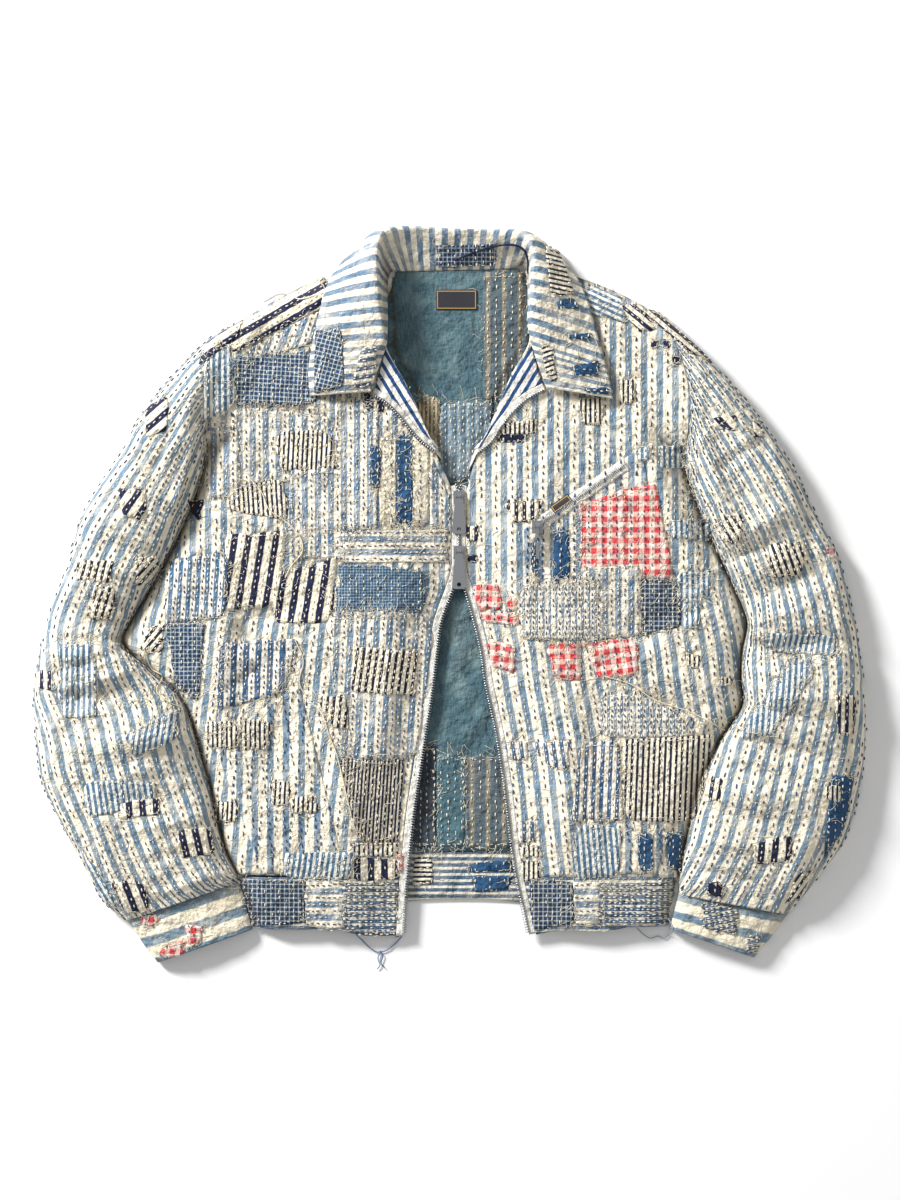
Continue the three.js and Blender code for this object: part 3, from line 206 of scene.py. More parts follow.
HEM_LEFT = Rows(HEM_COLUMNS, """
243 876.4 399.5 876.4 0 10.3 16.2; 250 903 397.5 906 0 9.5 14; 256 926 396 935 2 9 12
""")
HEM_RIGHT = Rows(HEM_COLUMNS, """
675 876.4 524 876.4 0 10.3 16.2; 670 903 530 905 0 9.5 14; 666 924 536 934 -2 9 12
""")
COLLAR = Rows("nx ny nz rx ry rz ex ey ez swell", """
371 393 28 344 395 30 311 397 25 0; 379 369 29 358 371 33 309 374 25 0;
387 346 28 383 345 36 312 350 25 1; 388 325 20 382 325 40 316 330 24 2;
388 303 13 379 302 41 321 309 23 2; 388 287 9 377 278 41 326 290 19 2;
391 273 6.6 377 250 37 338 267 8 2; 402 271.6 4.4 385 233 31 366 243 0.4 5;
418 271.4 4.2 414 229 26 410 252 0.4 12; 448 270.7 4.2 448 231.5 25 448 260 0.4 15;
482 269.9 4.2 484 232.5 26 484 256 0.4 12; 510 269 4.4 520 236 31 534 240 0.4 5;
523 267 6.6 532 252 37 566 264 8 2; 527 285 9 532 280 41 584 294 19 2;
527 303 13 531 303 41 592 320 23 2; 527 322 20 532 323 40 599 345 24 2;
530 342 28 537 345 36 605 366 25 1; 537 365 29 560 371 33 609 383 25 0;
546 389 28 576 394 30 612 400 25 0
""")
FACING_LEFT = Rows("ax ay", "386 350; 397 369; 407 388; 416 407; 424 425; 434 447")
FACING_RIGHT = Rows("ax ay", "531 347; 519 366; 510 381; 501 401; 493 421; 481 447")
TAPE_COLUMNS = "tx ty z width"
LAPEL_TAPE_LEFT = Rows("tx ty width", """
372 394.4 6.6; 388 405 6.6; 400 417 6.6; 411 431 6.6; 423 443 6.6; 437.5 454.5 5; 446 466 3; 452.5 479 2
""")
LAPEL_TAPE_RIGHT = Rows("tx ty width", """
545 390.4 6.6; 527 400 6.6; 512 414 6.6; 500 429 6.6; 491 443 6.6; 477 454.5 5; 470.5 466 3; 465 479 2
""")
TAPE_LEFT = Rows(TAPE_COLUMNS, """
455.5 485 11 4.5; 457.5 491 11 6; 458.75 498 11 6.6; 458.75 530 11 6.6; 458.75 562 11 6.6;
456.5 576 11 6.6; 452 590 11 6.6; 440.5 622 10.5 6.6; 436 655 10.5 6.6; 431.5 692 10.5 6.6;
426 728 10.5 6.6; 420.5 764 10.5 6.6; 413.5 810 10.5 6.6; 409 852 10 6.6; 406.5 877 10 6.6;
404.5 906 9.5 6.6; 403 935 9 6.6
""")
TAPE_RIGHT = Rows(TAPE_COLUMNS, """
462.5 485 11 4.5; 460.5 491 11 6; 459.25 498 11 6.6; 459.25 530 11 6.6; 459.25 562 11 6.6;
461.5 576 11 6.6; 466 590 11 6.6; 475 622 10.5 6.6; 482 652 10.5 6.6; 486 681 10.5 6.6;
492 709 10.5 6.6; 498.5 741 10.5 6.6; 505.5 788 10.5 6.6; 512 843 10 6.6; 517 877 10 6.6;
523 905 9.5 6.6; 529 934 9 6.6
""")

# Folds as x0, y0, x1, y1, half width and height (below 0 for a trough), largest first.
BODY_FOLDS = numbers("""
238 372 330 412 13 4; 228 430 300 500 14 -4; 215 505 300 545 12 4; 225 640 300 600 14 -4;
230 560 222 720 12 4; 360 440 385 560 13 3; 330 700 350 860 14 4; 262 790 300 690 15 -3;
395 600 385 840 13 3; 640 430 690 560 14 4; 560 440 520 560 13 3; 640 650 725 700 14 4;
575 700 560 860 14 4; 690 610 600 640 13 -4; 650 760 690 850 13 -3; 520 650 540 840 13 -3;
214 470 262 520 5 -2.4; 240 500 300 560 5 2; 208 560 262 590 5 -2.2; 212 610 280 640 6 2.1;
225 690 272 660 5 -2.3; 300 515 350 560 5 -1.8; 350 470 372 540 5 1.5; 396 620 372 700 5 -1.6;
330 640 360 720 6 -1.8; 370 740 352 830 5 1.6; 290 880 330 740 6 -1.6; 250 335 300 372 6 -1.8;
300 320 350 372 6 1.6; 250 400 320 404 5 1.5; 386 840 392 760 4 -1.3; 660 470 705 545 5 -2.2;
640 500 690 590 5 1.9; 676 590 730 560 5 -2.2; 660 640 720 612 5 2; 640 690 712 716 5 -2;
600 440 640 520 6 -1.7; 520 470 505 560 5 1.5; 545 560 530 640 5 -1.6; 600 640 560 720 6 1.7;
700 740 660 860 5 -1.9; 540 760 530 860 5 1.4; 590 720 610 860 6 -1.6; 600 330 650 400 6 1.8;
570 420 640 400 5 -1.5; 500 600 520 700 4 1.2; 216 760 250 860 6 -1.8; 620 560 668 640 5 1.6;
480 520 500 600 5 -1.3
""")
SLEEVE_FOLDS = numbers("""
210 360 165 470 13 4; 188 490 120 440 13 -5; 160 560 95 540 12 -6; 125 640 50 600 13 -8;
140 655 45 655 11 5; 175 690 60 700 12 -6; 190 735 90 745 12 5; 205 790 110 800 13 -4;
120 905 95 800 12 4; 700 400 745 500 13 -5; 722 540 790 510 12 5; 745 600 820 570 13 -6;
748 650 850 640 12 -8; 748 690 855 700 12 5; 735 735 830 760 12 -6; 705 790 800 800 12 4;
780 900 815 820 12 4; 190 400 150 480 5 -2.4; 178 512 128 470 5 2.2; 168 545 112 500 6 -2.6;
150 585 92 560 5 2.4; 136 612 72 590 5 -2.8; 122 632 60 630 5 2.6; 122 652 50 672 5 -3;
150 668 62 684 5 2.4; 176 706 96 716 5 -2.4; 188 748 120 728 6 2.2; 196 770 130 782 5 -2.2;
208 812 140 830 5 2; 216 842 150 860 5 -2; 110 880 78 790 6 -2.2; 60 780 52 700 6 2.2;
90 650 70 740 7 -2.4; 228 868 160 892 5 1.8; 196 440 172 520 5 2; 696 440 738 540 5 2.2;
716 470 762 440 5 -2.2; 728 560 784 540 5 -2.4; 744 622 812 606 5 2.4; 746 640 830 668 5 -2.8;
744 668 836 684 5 2.6; 742 702 822 722 5 -2.6; 732 726 800 742 5 2.2; 716 762 800 778 5 -2.2;
702 806 782 822 5 -2; 694 838 770 846 5 1.9; 690 866 756 880 5 -1.8; 830 560 842 660 6 2.2;
850 700 846 800 6 -2.2; 800 480 812 560 6 -2.2; 760 420 790 500 6 2.2; 826 830 790 900 6 1.8
""")


def fold_height(folds: Array, x: Array, y: Array) -> Array:
    """Sum of folds: each a bell across its line times half a sine along it.

    Args:
        folds: rows of line ends, half width and height.
        x: plan x.
        y: plan y.

    Returns:
        Height to add at each place.
    """
    total = np.zeros(np.broadcast(x, y).shape)
    for x0, y0, x1, y1, half, height in folds:
        dx, dy = x1 - x0, y1 - y0
        held = np.clip(((x - x0) * dx + (y - y0) * dy) / (dx * dx + dy * dy), 0, 1)
        across = ((x - x0 - held * dx) ** 2 + (y - y0 - held * dy) ** 2) / half**2
        total += FOLD_GAIN * height * np.exp(-across) * np.sin(np.pi * mix(0.12, 0.88, held))
    return total


def worn_surface(x: Array, y: Array, z: Array) -> Array:
    """Height with the washed cloth's small bumps, which fade out towards the table."""
    bumps = 0.8 * rumple(x, y, 22, 3) + 0.4 * rumple(x, y, 9, 4)
    return z + bumps * np.clip((z - 3) / 8, 0, 1)


# Finishes


class Weave(Enum):
    """How a cloth's second colour crosses its first."""

    PLAIN = "plain"
    STRIPE = "stripe"
    CHECK = "check"


def colour_of(text: str) -> tuple:
    """Linear colour with alpha of a six-digit colour code."""
    parts = [int(text[k:k + 2], 16) / 255 for k in (0, 2, 4)]
    linear = [c / 12.92 if c <= 0.04045 else ((c + 0.055) / 1.055) ** 2.4 for c in parts]
    return (*linear, 1.0)


class NodeDesk:
    """Puts shader nodes into a new material."""

    def __init__(self, name: str) -> None:
        """Makes the material with its main shader."""
        self.material = bpy.data.materials.new(name)
        self.material.use_nodes = True
        self.tree = self.material.node_tree
        self.shader = self.tree.nodes["Principled BSDF"]

    def put(self, kind: str, inputs: dict | None = None, **settings: object) -> bpy.types.Node:
        """Adds a node.

        Args:
            kind: node type without its ShaderNode prefix.
            inputs: values or sockets by input name or number.
            settings: properties of the node.

        Returns:
            The node.
        """
        node = self.tree.nodes.new("ShaderNode" + kind)
        for name, value in settings.items():
            setattr(node, name, value)
        self.fill(node, inputs or {})
        return node

    def fill(self, node: bpy.types.Node, inputs: dict) -> None:
        """Gives a node's inputs their values, or links sockets to them.

        Args:
            node: the node.
            inputs: values or sockets by input name or number.
        """
        for key, value in inputs.items():
            if isinstance(value, Socket):
                self.tree.links.new(value, node.inputs[key])
            else:
                node.inputs[key].default_value = value

    def finished(self, height: object, distance: float, strength: float, inputs: dict) -> bpy.types.Material:
        """Completes the material.

        Args:
            height: its relief.
            distance: depth of the relief in metres.
            strength: strength of the relief.
            inputs: values or sockets of the main shader.

        Returns:
            The material.
        """
        bump = self.put("Bump", {"Height": height, "Distance": distance, "Strength": strength})
        self.fill(self.shader, {**inputs, "Normal": bump.outputs[0]})
        return self.material

    def sum(self, operation: str, a: object, b: object = 0.0) -> Socket:
        """Result of a math node on two values or sockets."""
        return self.put("Math", {0: a, 1: b}, operation=operation).outputs[0]

    def times(self, a: object, b: object) -> Socket:
        """Product of two values or sockets."""
        return self.sum("MULTIPLY", a, b)

    def plus(self, a: object, b: object) -> Socket:
        """Sum of two values or sockets."""
        return self.sum("ADD", a, b)

    def less(self, a: object, b: object) -> Socket:
        """The first less the second."""
        return self.sum("SUBTRACT", a, b)

    def noise(self, vector: object, scale: float, detail: float = 2.0) -> Socket:
        """Noise value between 0 and 1 at a scale for each metre."""
        return self.put("TexNoise", {"Vector": vector, "Scale": scale, "Detail": detail}).outputs[0]

    def blend(self, share: object, a: object, b: object) -> Socket:
        """Colour between a and b."""
        node = self.put("Mix", {0: share, 6: a, 7: b}, data_type="RGBA")
        return node.outputs[2]

    def step(self, value: object, low: float, high: float) -> Socket:
        """Eased step from 0 at low to 1 at high."""
        inputs = {0: value, 1: low, 2: high}
        return self.put("MapRange", inputs, interpolation_type="SMOOTHSTEP").outputs[0]


@dataclass(frozen=True)
class ClothFinish:
    """A woven, washed and worn cotton."""

    name: str
    slot: str
    weave: Weave
    ground: str
    band: str
    pitch: float = 10.0
    share: float = 0.45
    wear: float = 0.4
    threads: float = 0.3
    stain: float = 0.2

    @staticmethod
    def read(line: str) -> "ClothFinish":
        """A finish from its line of five words and up to five numbers."""
        name, slot, weave, ground, band, *sizes = line.split()
        return ClothFinish(name, slot, Weave(weave), ground, band, *map(float, sizes))

    def band_mask(self, desk: NodeDesk, along: object, wobble: object) -> Socket:
        """Share of band colour: a triangle wave of the position, cut at the band's share.

        Args:
            desk: where the nodes go.
            along: position across the bands, in metres.
            wobble: small noise that roughens the edges.

        Returns:
            1 inside a band and 0 outside.
        """
        turns = desk.times(along, 1000 / self.pitch)
        moved = desk.plus(turns, desk.times(desk.less(wobble, 0.5), 0.16))
        doubled = desk.times(desk.sum("FRACT", moved), 2.0)
        wave = desk.sum("ABSOLUTE", desk.less(doubled, 1.0))
        return desk.step(wave, self.share + 0.07, self.share - 0.07)

    def material(self) -> bpy.types.Material:
        """Bands on the cloth map, worn by noise, with loose threads, stains, painted shade in the hollows and
        a weave in relief.

        Returns:
            The material.
        """
        desk = NodeDesk(self.name)
        cloth = desk.put("UVMap", uv_map="cloth").outputs[0]
        split = desk.put("SeparateXYZ", {0: cloth})
        u, v = split.outputs[0], split.outputs[1]
        place = desk.put("TexCoord").outputs["Object"]
        long_u = desk.put("Mapping", {0: cloth, 3: (1, 0.08, 1)}).outputs[0]
        long_v = desk.put("Mapping", {0: cloth, 3: (0.08, 1, 1)}).outputs[0]
        warp, weft = desk.noise(long_u, 1400), desk.noise(long_v, 1400)
        wobble = desk.noise(place, 130, 3)
        if self.weave is Weave.STRIPE:
            mask = self.band_mask(desk, u, wobble)
        elif self.weave is Weave.CHECK:
            both = desk.plus(self.band_mask(desk, u, wobble), self.band_mask(desk, v, wobble))
            mask = desk.times(both, 0.5)
        else:
            mask = 1.0
        fade = desk.times(desk.step(desk.noise(place, 42, 4), 0.42, 0.72), self.wear)
        worn = desk.times(desk.step(warp, 0.42, 0.66), 0.02 + 0.6 * self.wear)
        held = desk.times(mask, desk.less(desk.less(1.0, fade), worn))
        held.node.use_clamp = True
        colour = desk.blend(held, colour_of(self.ground), colour_of(self.band))
        streak = desk.times(desk.step(weft, 0.52, 0.72), self.threads)
        colour = desk.blend(streak, colour, colour_of("DDD2B6"))
        stain = desk.times(desk.step(desk.noise(place, 11, 3), 0.5, 0.8), self.stain)
        colour = desk.blend(stain, colour, colour_of("B09A74"))
        shade = desk.times(desk.step(desk.noise(place, 260, 2), 0.35, 0.75), 0.16)
        colour = desk.blend(shade, colour, colour_of("2A2624"))
        # Painted shade: the colour darkens towards a warm brown in the hollows and creases.
        hollow_shade = desk.put("Attribute", attribute_name="hollow_shade").outputs["Fac"]
        colour = desk.blend(desk.times(hollow_shade, 0.75), colour, colour_of("463A27"))
        threads = desk.plus(warp, weft)
        coarse = desk.times(desk.noise(place, 55, 2), 1.6)
        pucker = desk.plus(desk.noise(place, 150, 3), coarse)
        height = desk.plus(desk.times(threads, 0.32), desk.times(pucker, 3.0))
        return desk.finished(height, 0.0014, 0.9, {
            "Base Color": colour, "Roughness": 0.92, "Sheen Weight": 0.1, "Sheen Roughness": 0.5,
            "Specular IOR Level": 0.25,
        })


@dataclass(frozen=True)
class ThreadFinish:
    """Sewing thread whose colour runs with the shade attribute, 0 navy, 0.5 faded blue, 1 cream."""

    name: str
    slot: str

    def material(self) -> bpy.types.Material:
        """Colour ramp on the shade, with a twist in relief.

        Returns:
            The material.
        """
        desk = NodeDesk(self.name)
        shade = desk.put("Attribute", attribute_name="shade").outputs["Fac"]
        ramp = desk.put("ValToRGB", {0: shade})
        stops = ((0.0, "1B2440"), (0.3, "33507F"), (0.5, "7C93B2"), (0.72, "DCCDAA"), (1.0, "F6EFDE"))
        marks = ramp.color_ramp.elements
        for place, _ in stops[1:-1]:
            marks.new(place)
        for mark, (place, code) in zip(marks, stops):
            mark.position = place
            mark.color = colour_of(code)
        twist = desk.noise(desk.put("TexCoord").outputs["Object"], 1800)
        worn = {"Base Color": ramp.outputs[0], "Roughness": 0.9, "Sheen Weight": 0.2}
        return desk.finished(twist, 0.0003, 0.6, worn)


@dataclass(frozen=True)
class MetalFinish:
    """Zip metal with handling marks."""

    name: str
    slot: str
    colour: str
    rough: float

    def material(self) -> bpy.types.Material:
        """Metal whose roughness and tone vary a little with noise.

        Returns:
            The material.
        """
        desk = NodeDesk(self.name)
        place = desk.put("TexCoord").outputs["Object"]
        marks = desk.step(desk.noise(place, 420, 4), 0.4, 0.7)
        tone = desk.blend(desk.times(marks, 0.35), colour_of(self.colour), colour_of("7D7F83"))
        rough = desk.plus(desk.times(marks, 0.14), self.rough)
        return desk.finished(marks, 0.0002, 0.3, {"Base Color": tone, "Roughness": rough, "Metallic": 0.85})


@dataclass(frozen=True)
class LabelFinish:
    """Dark woven label with a plain thin border and nothing else on it."""

    name: str
    slot: str
    width: float
    depth: float

    def material(self) -> bpy.types.Material:
        """A border line where the distance to the nearest edge is about a millimetre.

        Returns:
            The material.
        """
        desk = NodeDesk(self.name)
        cloth = desk.put("UVMap", uv_map="cloth").outputs[0]
        split = desk.put("SeparateXYZ", {0: cloth})
        gaps = []
        for socket, size in zip(split.outputs, (self.width, self.depth)):
            off = desk.sum("ABSOLUTE", desk.less(socket, 0.5 * size * MM))
            gaps.append(desk.less(0.5 * size * MM, off))
        edge = desk.sum("MINIMUM", gaps[0], gaps[1])
        inside = desk.sum("ABSOLUTE", desk.less(edge, 1.5 * MM))
        line = desk.step(inside, 0.55 * MM, 0.3 * MM)
        weave = desk.noise(desk.put("Mapping", {0: cloth, 3: (1, 0.1, 1)}).outputs[0], 1800)
        ground = desk.blend(desk.times(weave, 0.35), colour_of("17171F"), colour_of("3A3A44"))
        colour = desk.blend(line, ground, colour_of("B08D4C"))
        woven = {"Base Color": colour, "Roughness": 0.75, "Sheen Weight": 0.2}
        return desk.finished(weave, 0.0003, 0.5, woven)


STRIPED = "striped_cotton"
# Name, slot, weave, ground and band colours, then pitch, share, wear, loose threads and stain.
FINISH_LINES = """
BS striped_cotton stripe FCF2DB 5E819C 15.5 0.43 0.3 0.2 0.14
CUFFS striped_cotton stripe F9EFD6 5F8199 22 0.45 0.3 0.25 0.4
WS striped_cotton stripe FAF1DC 4C7598 13 0.5 0.45 0.35 0.12
NS navy_striped_cotton stripe FBF1DA 101B40 13.5 0.5 0.0 0.03 0.03
NS8 navy_striped_cotton stripe FBF1DA 101B40 8 0.5 0.0 0.03 0.03
KS navy_striped_cotton stripe F9F0DA 0F1630 4.7 0.45 0.0 0.02 0.02
KS55 navy_striped_cotton stripe F9F0DA 0F1630 5.5 0.45 0.0 0.02 0.02
KS6 navy_striped_cotton stripe F9F0DA 0F1630 6.5 0.45 0.0 0.02 0.02
DK navy_striped_cotton stripe DDD5C4 0E1530 3.6 0.55 0.0 0.02 0.02
DS check_cotton stripe F2EBDA 587896 6.5 0.42 0.4 0.25 0.1
FB check_cotton stripe E6E9E2 3F6A8C 5.6 0.52 0.15 0.15 0.08
BB striped_cotton stripe F3ECDC 235480 12 0.5 0.12 0.1 0.06
BB8 striped_cotton stripe F3ECDC 235480 8 0.5 0.12 0.1 0.06
BB9 striped_cotton stripe F3ECDC 2E648E 9 0.5 0.12 0.1 0.06
DN denim plain 5F86A6 1F4C74 8 0.5 0.2 0.04 0.0
NP navy_striped_cotton plain 2B3757 111A38 8 0.5 0.1 0.03 0.0
CR striped_cotton plain F7EFDC F3E9D0 8 0.5 0.3 0.1 0.1
BC check_cotton check CBD3D2 173A5E 4.3 0.74 0.02 0.05 0.02
NC check_cotton check C4CBCA 14304F 4.6 0.74 0.02 0.05 0.02
FC check_cotton check 9DB1BC 234A6C 2.9 0.68 0.05 0.06 0.02
RC red_gingham check F6ECDC D8323C 10.5 0.52 0.06 0.08 0.04
HS check_cotton stripe E2DDCB 2A5274 6.2 0.58 0.25 0.25 0.1
FACING facing_cotton stripe F8F4EA 204C82 8.2 0.44 0.0 0.02 0.02
LINING lining_cotton plain 728C90 41606C 9 0.6 0.7 0.06 0.12
GREY lining_cotton stripe 56666F 9A9280 16 0.28 0.3 0.2
BROWN lining_cotton stripe CFC2A4 7C6B4E 4 0.5 0.3 0.2
SLATE lining_cotton stripe 8CA0AB 4F6C82 9 0.55 0.4 0.3
TEAL lining_cotton plain 7A97A0 3F626E 9 0.6 0.5 0.1 0.1
DUSK lining_cotton plain 5B6570 2A343F 9 0.6 0.4 0.1 0.1
TAPE zip_tape stripe F2F0EA D6D2C4 1.6 0.5 0.0 0.03 0.06
"""
FINISHES = {line.split()[0]: ClothFinish.read(line) for line in FINISH_LINES.strip().splitlines()}
THREAD = ThreadFinish("THREAD", STRIPED)
METAL = MetalFinish("ZIP_METAL", "zip_metal", "A9ACB0", 0.3)
Finish = ClothFinish | ThreadFinish | MetalFinish | LabelFinish
_MATERIALS: dict[str, bpy.types.Material] = {}


def material_of(finish: Finish) -> bpy.types.Material:
    """The finish's material, made once."""
    if finish.name not in _MATERIALS:
        _MATERIALS[finish.name] = finish.material()
    return _MATERIALS[finish.name]


# Meshes


def to_frame(x: Array, y: Array, z: Array) -> Array:
    """Plan places and heights in millimetres as points of the frame in metres."""
    x, y, z = np.broadcast_arrays(x, y, z)
    return np.stack([(x - TABLE_CENTRE[0]) * MM, (TABLE_CENTRE[1] - y) * MM, z * MM], axis=-1)


def grid_faces(rows: int, cols: int, ring: bool = False) -> Array:
    """Quads of a grid of rows and columns, closed round its columns for a ring.

    Args:
        rows: rows of points.
        cols: points in each.
        ring: whether it closes.

    Returns:
        The quads.
    """
    j = np.arange(cols if ring else cols - 1)
    i = np.arange(rows - 1)[:, None]
    a, b = i * cols + j, i * cols + (j + 1) % cols
    return np.stack([a, a + cols, b + cols, b], axis=-1).reshape(-1, 4)


def shell(outer: Array, thickness: float, ring: bool = False) -> Pair:
    """Closed wall between a grid and the same grid moved in along its normals.

    Args:
        outer: points of the shown side, rows by columns by 3, in metres.
        thickness: wall in millimetres.
        ring: whether the columns close on themselves.

    Returns:
        Points and quads that face outwards.
    """
    rows, cols = outer.shape[:2]
    along = np.gradient(outer, axis=0)
    if ring:
        across = np.roll(outer, -1, axis=1) - np.roll(outer, 1, axis=1)
    else:
        across = np.gradient(outer, axis=1)
    normal = np.cross(along, across)
    normal /= np.linalg.norm(normal, axis=-1, keepdims=True) + 1e-12
    middle = outer.mean(axis=1, keepdims=True)
    rise = (normal * (outer - middle)).sum() if ring else normal[..., 2].sum()
    if rise < 0:
        normal = -normal
    inner = outer - normal * thickness * MM
    inner[..., 2] = np.maximum(inner[..., 2], 0.02 * MM)
    top = grid_faces(rows, cols, ring)
    shift = rows * cols
    first = np.arange(cols) if ring else np.arange(cols - 1)
    after = (first + 1) % cols
    base = (rows - 1) * cols
    rims = [
        np.stack([first, after, after + shift, first + shift], axis=-1),
        np.stack([base + first, base + first + shift, base + after + shift, base + after], axis=-1),
    ]
    if not ring:
        low = np.arange(rows - 1) * cols
        rims.append(np.stack([low, low + shift, low + cols + shift, low + cols], axis=-1))
        rims.append(rims[-1][:, ::-1] + cols - 1)
    faces = np.concatenate([top, top[:, ::-1] + shift, *rims])
    if rise < 0:
        faces = faces[:, ::-1]
    return np.concatenate([outer.reshape(-1, 3), inner.reshape(-1, 3)]), faces


def add_piece(
    name: str, points: Array, faces: Array | list, finish: Finish, uv: Array | None = None,
    slot: str | None = None, replaces: tuple = (), shade: Array | None = None,
) -> Piece:
    """Makes a mesh piece with its finish.

    Args:
        name: piece name.
        points: its points in metres.
        faces: its faces as point numbers; one that comes twice counts once.
        finish: what it is made of.
        uv: cloth map in millimetres for each point.
        slot: record slot, or the finish's own; not used.
        replaces: CAD nodes that it stands for.
        shade: thread shade for each point.

    Returns:
        The object.
    """
    mesh = bpy.data.meshes.new(name)
    rows = faces.tolist() if isinstance(faces, np.ndarray) else faces
    mesh.from_pydata(points.tolist(), [], [list(dict.fromkeys(row)) for row in rows])
    if uv is not None:
        corners = np.empty(len(mesh.loops), np.int32)
        mesh.loops.foreach_get("vertex_index", corners)
        layer = mesh.uv_layers.new(name="cloth")
        layer.data.foreach_set("uv", (uv.reshape(-1, 2)[corners] * MM).astype(np.float32).ravel())
    if shade is not None:
        mesh.attributes.new("shade", "FLOAT", "POINT").data.foreach_set("value", shade.astype(np.float32))
    mesh.shade_smooth()
    mesh.materials.append(material_of(finish))
    mesh.validate()
    piece = bpy.data.objects.new(name, mesh)
    bpy.context.collection.objects.link(piece)
    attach(piece, BODY)
    slot or finish.slot
    if replaces:
        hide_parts(*replaces)
    return piece


def cloth_piece(
    name: str, x: Array, y: Array, z: Array, u: Array, v: Array, finish: ClothFinish | LabelFinish,
    node: str, thickness: float = CLOTH, ring: bool = False, slot: str | None = None,
) -> Piece:
    """A panel as a closed thin shell with its cloth map on both sides.

    Args:
        name: piece name.
        x: plan x of the grid.
        y: plan y.
        z: height.
        u: cloth position across the stripes.
        v: and along them.
        finish: what it is made of.
        node: CAD node that it stands for.
        thickness: of the cloth.
        ring: whether the columns close on themselves.
        slot: record slot, or the finish's own.

    Returns:
        The object.
    """
    points, faces = shell(to_frame(x, y, z), thickness, ring)
    uv = np.stack(np.broadcast_arrays(u, v), axis=-1).reshape(-1, 2)
    both = np.concatenate([uv, uv])
    return add_piece(name, points, faces, finish, both, slot, (node,))


class Relief:
    """Heights of what lies on top, on a millimetre raster of the plan, and what owns each place."""

    LEFT, TOP, WIDE, DEEP = 0, 200, 900, 800

    def __init__(self) -> None:
        """Starts with nothing laid."""
        self.z = np.full((self.DEEP, self.WIDE), -1.0)
        self.owner = np.zeros((self.DEEP, self.WIDE), int)

    def cells(self, x: Array, y: Array) -> Pair:
        """Raster rows and columns of plan places."""
        j = np.clip(np.round(x - self.LEFT).astype(int), 0, self.WIDE - 1)
        i = np.clip(np.round(y - self.TOP).astype(int), 0, self.DEEP - 1)
        return i, j

    def stamp(self, x: Array, y: Array, z: Array, owner: int) -> None:
        """Lays a grid on the raster: each cell keeps the highest point that falls in it.

        Args:
            x: plan x of the grid.
            y: plan y of the grid.
            z: its height.
            owner: number of what it belongs to.
        """
        finest = 0.7
        gaps = [np.max(np.hypot(np.diff(x, axis=k), np.diff(y, axis=k)), initial=1.0) for k in (0, 1)]
        fine = []
        for values in (x, y, z):
            for axis, parts in ((k, math.ceil(gap / finest)) for k, gap in enumerate(gaps)):
                count = values.shape[axis]
                at = np.linspace(0, count - 1, (count - 1) * parts + 1)
                low = np.minimum(at.astype(int), count - 2)
                share = (at - low)[:, None] if axis == 0 else (at - low)[None, :]
                values = mix(np.take(values, low, axis), np.take(values, low + 1, axis), share)
            fine.append(values)
        i, j = self.cells(fine[0].ravel(), fine[1].ravel())
        laid = np.full_like(self.z, -1.0)
        np.maximum.at(laid, (i, j), fine[2].ravel())
        top = laid > self.z - 0.05
        top &= laid >= 0
        self.z[top] = laid[top]
        self.owner[top] = owner

    def close_holes(self) -> None:
        """Fills empty cells beside laid ones from their neighbours, then evens the heights."""
        for _ in range(3):
            around = np.stack([np.roll(self.z, s, a) for s in (1, -1) for a in (0, 1)])
            empty = self.z < 0
            self.z[empty] = around.max(axis=0)[empty]
        laid = np.maximum(self.z, 0)
        total = sum(np.roll(laid, (a, b), (0, 1)) for a in (-1, 0, 1) for b in (-1, 0, 1))
        self.z = np.where(self.z >= 0, total / 9, self.z)

    def height(self, x: Array, y: Array) -> Array:
        """Height at plan places, straight between cells.

        Args:
            x: plan x.
            y: plan y.

        Returns:
            The heights.
        """
        gx = np.clip(x - self.LEFT, 0, self.WIDE - 1.001)
        gy = np.clip(y - self.TOP, 0, self.DEEP - 1.001)
        j, i = gx.astype(int), gy.astype(int)
        u, v = gx - j, gy - i
        z = np.maximum(self.z, 0)
        return mix(mix(z[i, j], z[i, j + 1], u), mix(z[i + 1, j], z[i + 1, j + 1], u), v)

    def owner_at(self, x: Array, y: Array) -> Array:
        """Number of what owns each place."""
        return self.owner[self.cells(x, y)]


def even_out(z: Array, reach: int) -> Array:
    """Mean height of the square of cells within a reach of each cell.

    Args:
        z: heights on the raster.
        reach: cells to each side.

    Returns:
        The mean heights.
    """
    for axis in (0, 1):
        sides = [(reach + 1, reach) if k == axis else (0, 0) for k in (0, 1)]
        total = np.cumsum(np.pad(z, sides, "edge"), axis=axis)
        span = total.shape[axis]
        high, low = np.arange(2 * reach + 1, span), np.arange(0, span - 2 * reach - 1)
        z = (np.take(total, high, axis) - np.take(total, low, axis)) / (2 * reach + 1)
    return z


def paint_hollow_shade(pieces: list, reliefs: tuple) -> None:
    """Marks on each cloth how far it lies below what is round it, for the painted shade in its hollows and
    creases.

    The depth is the mean height round a place less the height there, over 15 mm for the
    hollows and over 4 mm for the creases.

    Args:
        pieces: the pieces, of which those with a cloth map are marked.
        reliefs: rasters of all that is laid.
    """
    laid = Relief()
    laid.z = np.maximum(0, np.maximum.reduce([relief.z for relief in reliefs]))
    wide, near = even_out(even_out(laid.z, 9), 9), even_out(even_out(laid.z, 2), 2)
    for piece in pieces:
        mesh = piece.data
        if "cloth" not in mesh.uv_layers:
            continue
        points = np.empty(3 * len(mesh.vertices))
        mesh.vertices.foreach_get("co", points)
        x, y, z = points.reshape(-1, 3).T / MM
        cells = laid.cells(x + TABLE_CENTRE[0], TABLE_CENTRE[1] - y)
        # Painted shade: the deeper a place lies below its surroundings, the darker its cloth is coloured.
        hollow_shade = 0.95 * smooth((wide[cells] - z - 1.5) / 9) + 0.42 * smooth((near[cells] - z) / 1.8)
        shown = z > laid.z[cells] - 3
        depth = (np.clip(hollow_shade, 0, 1) * shown).astype(np.float32)
        mesh.attributes.new("hollow_shade", "FLOAT", "POINT").data.foreach_set("value", depth)


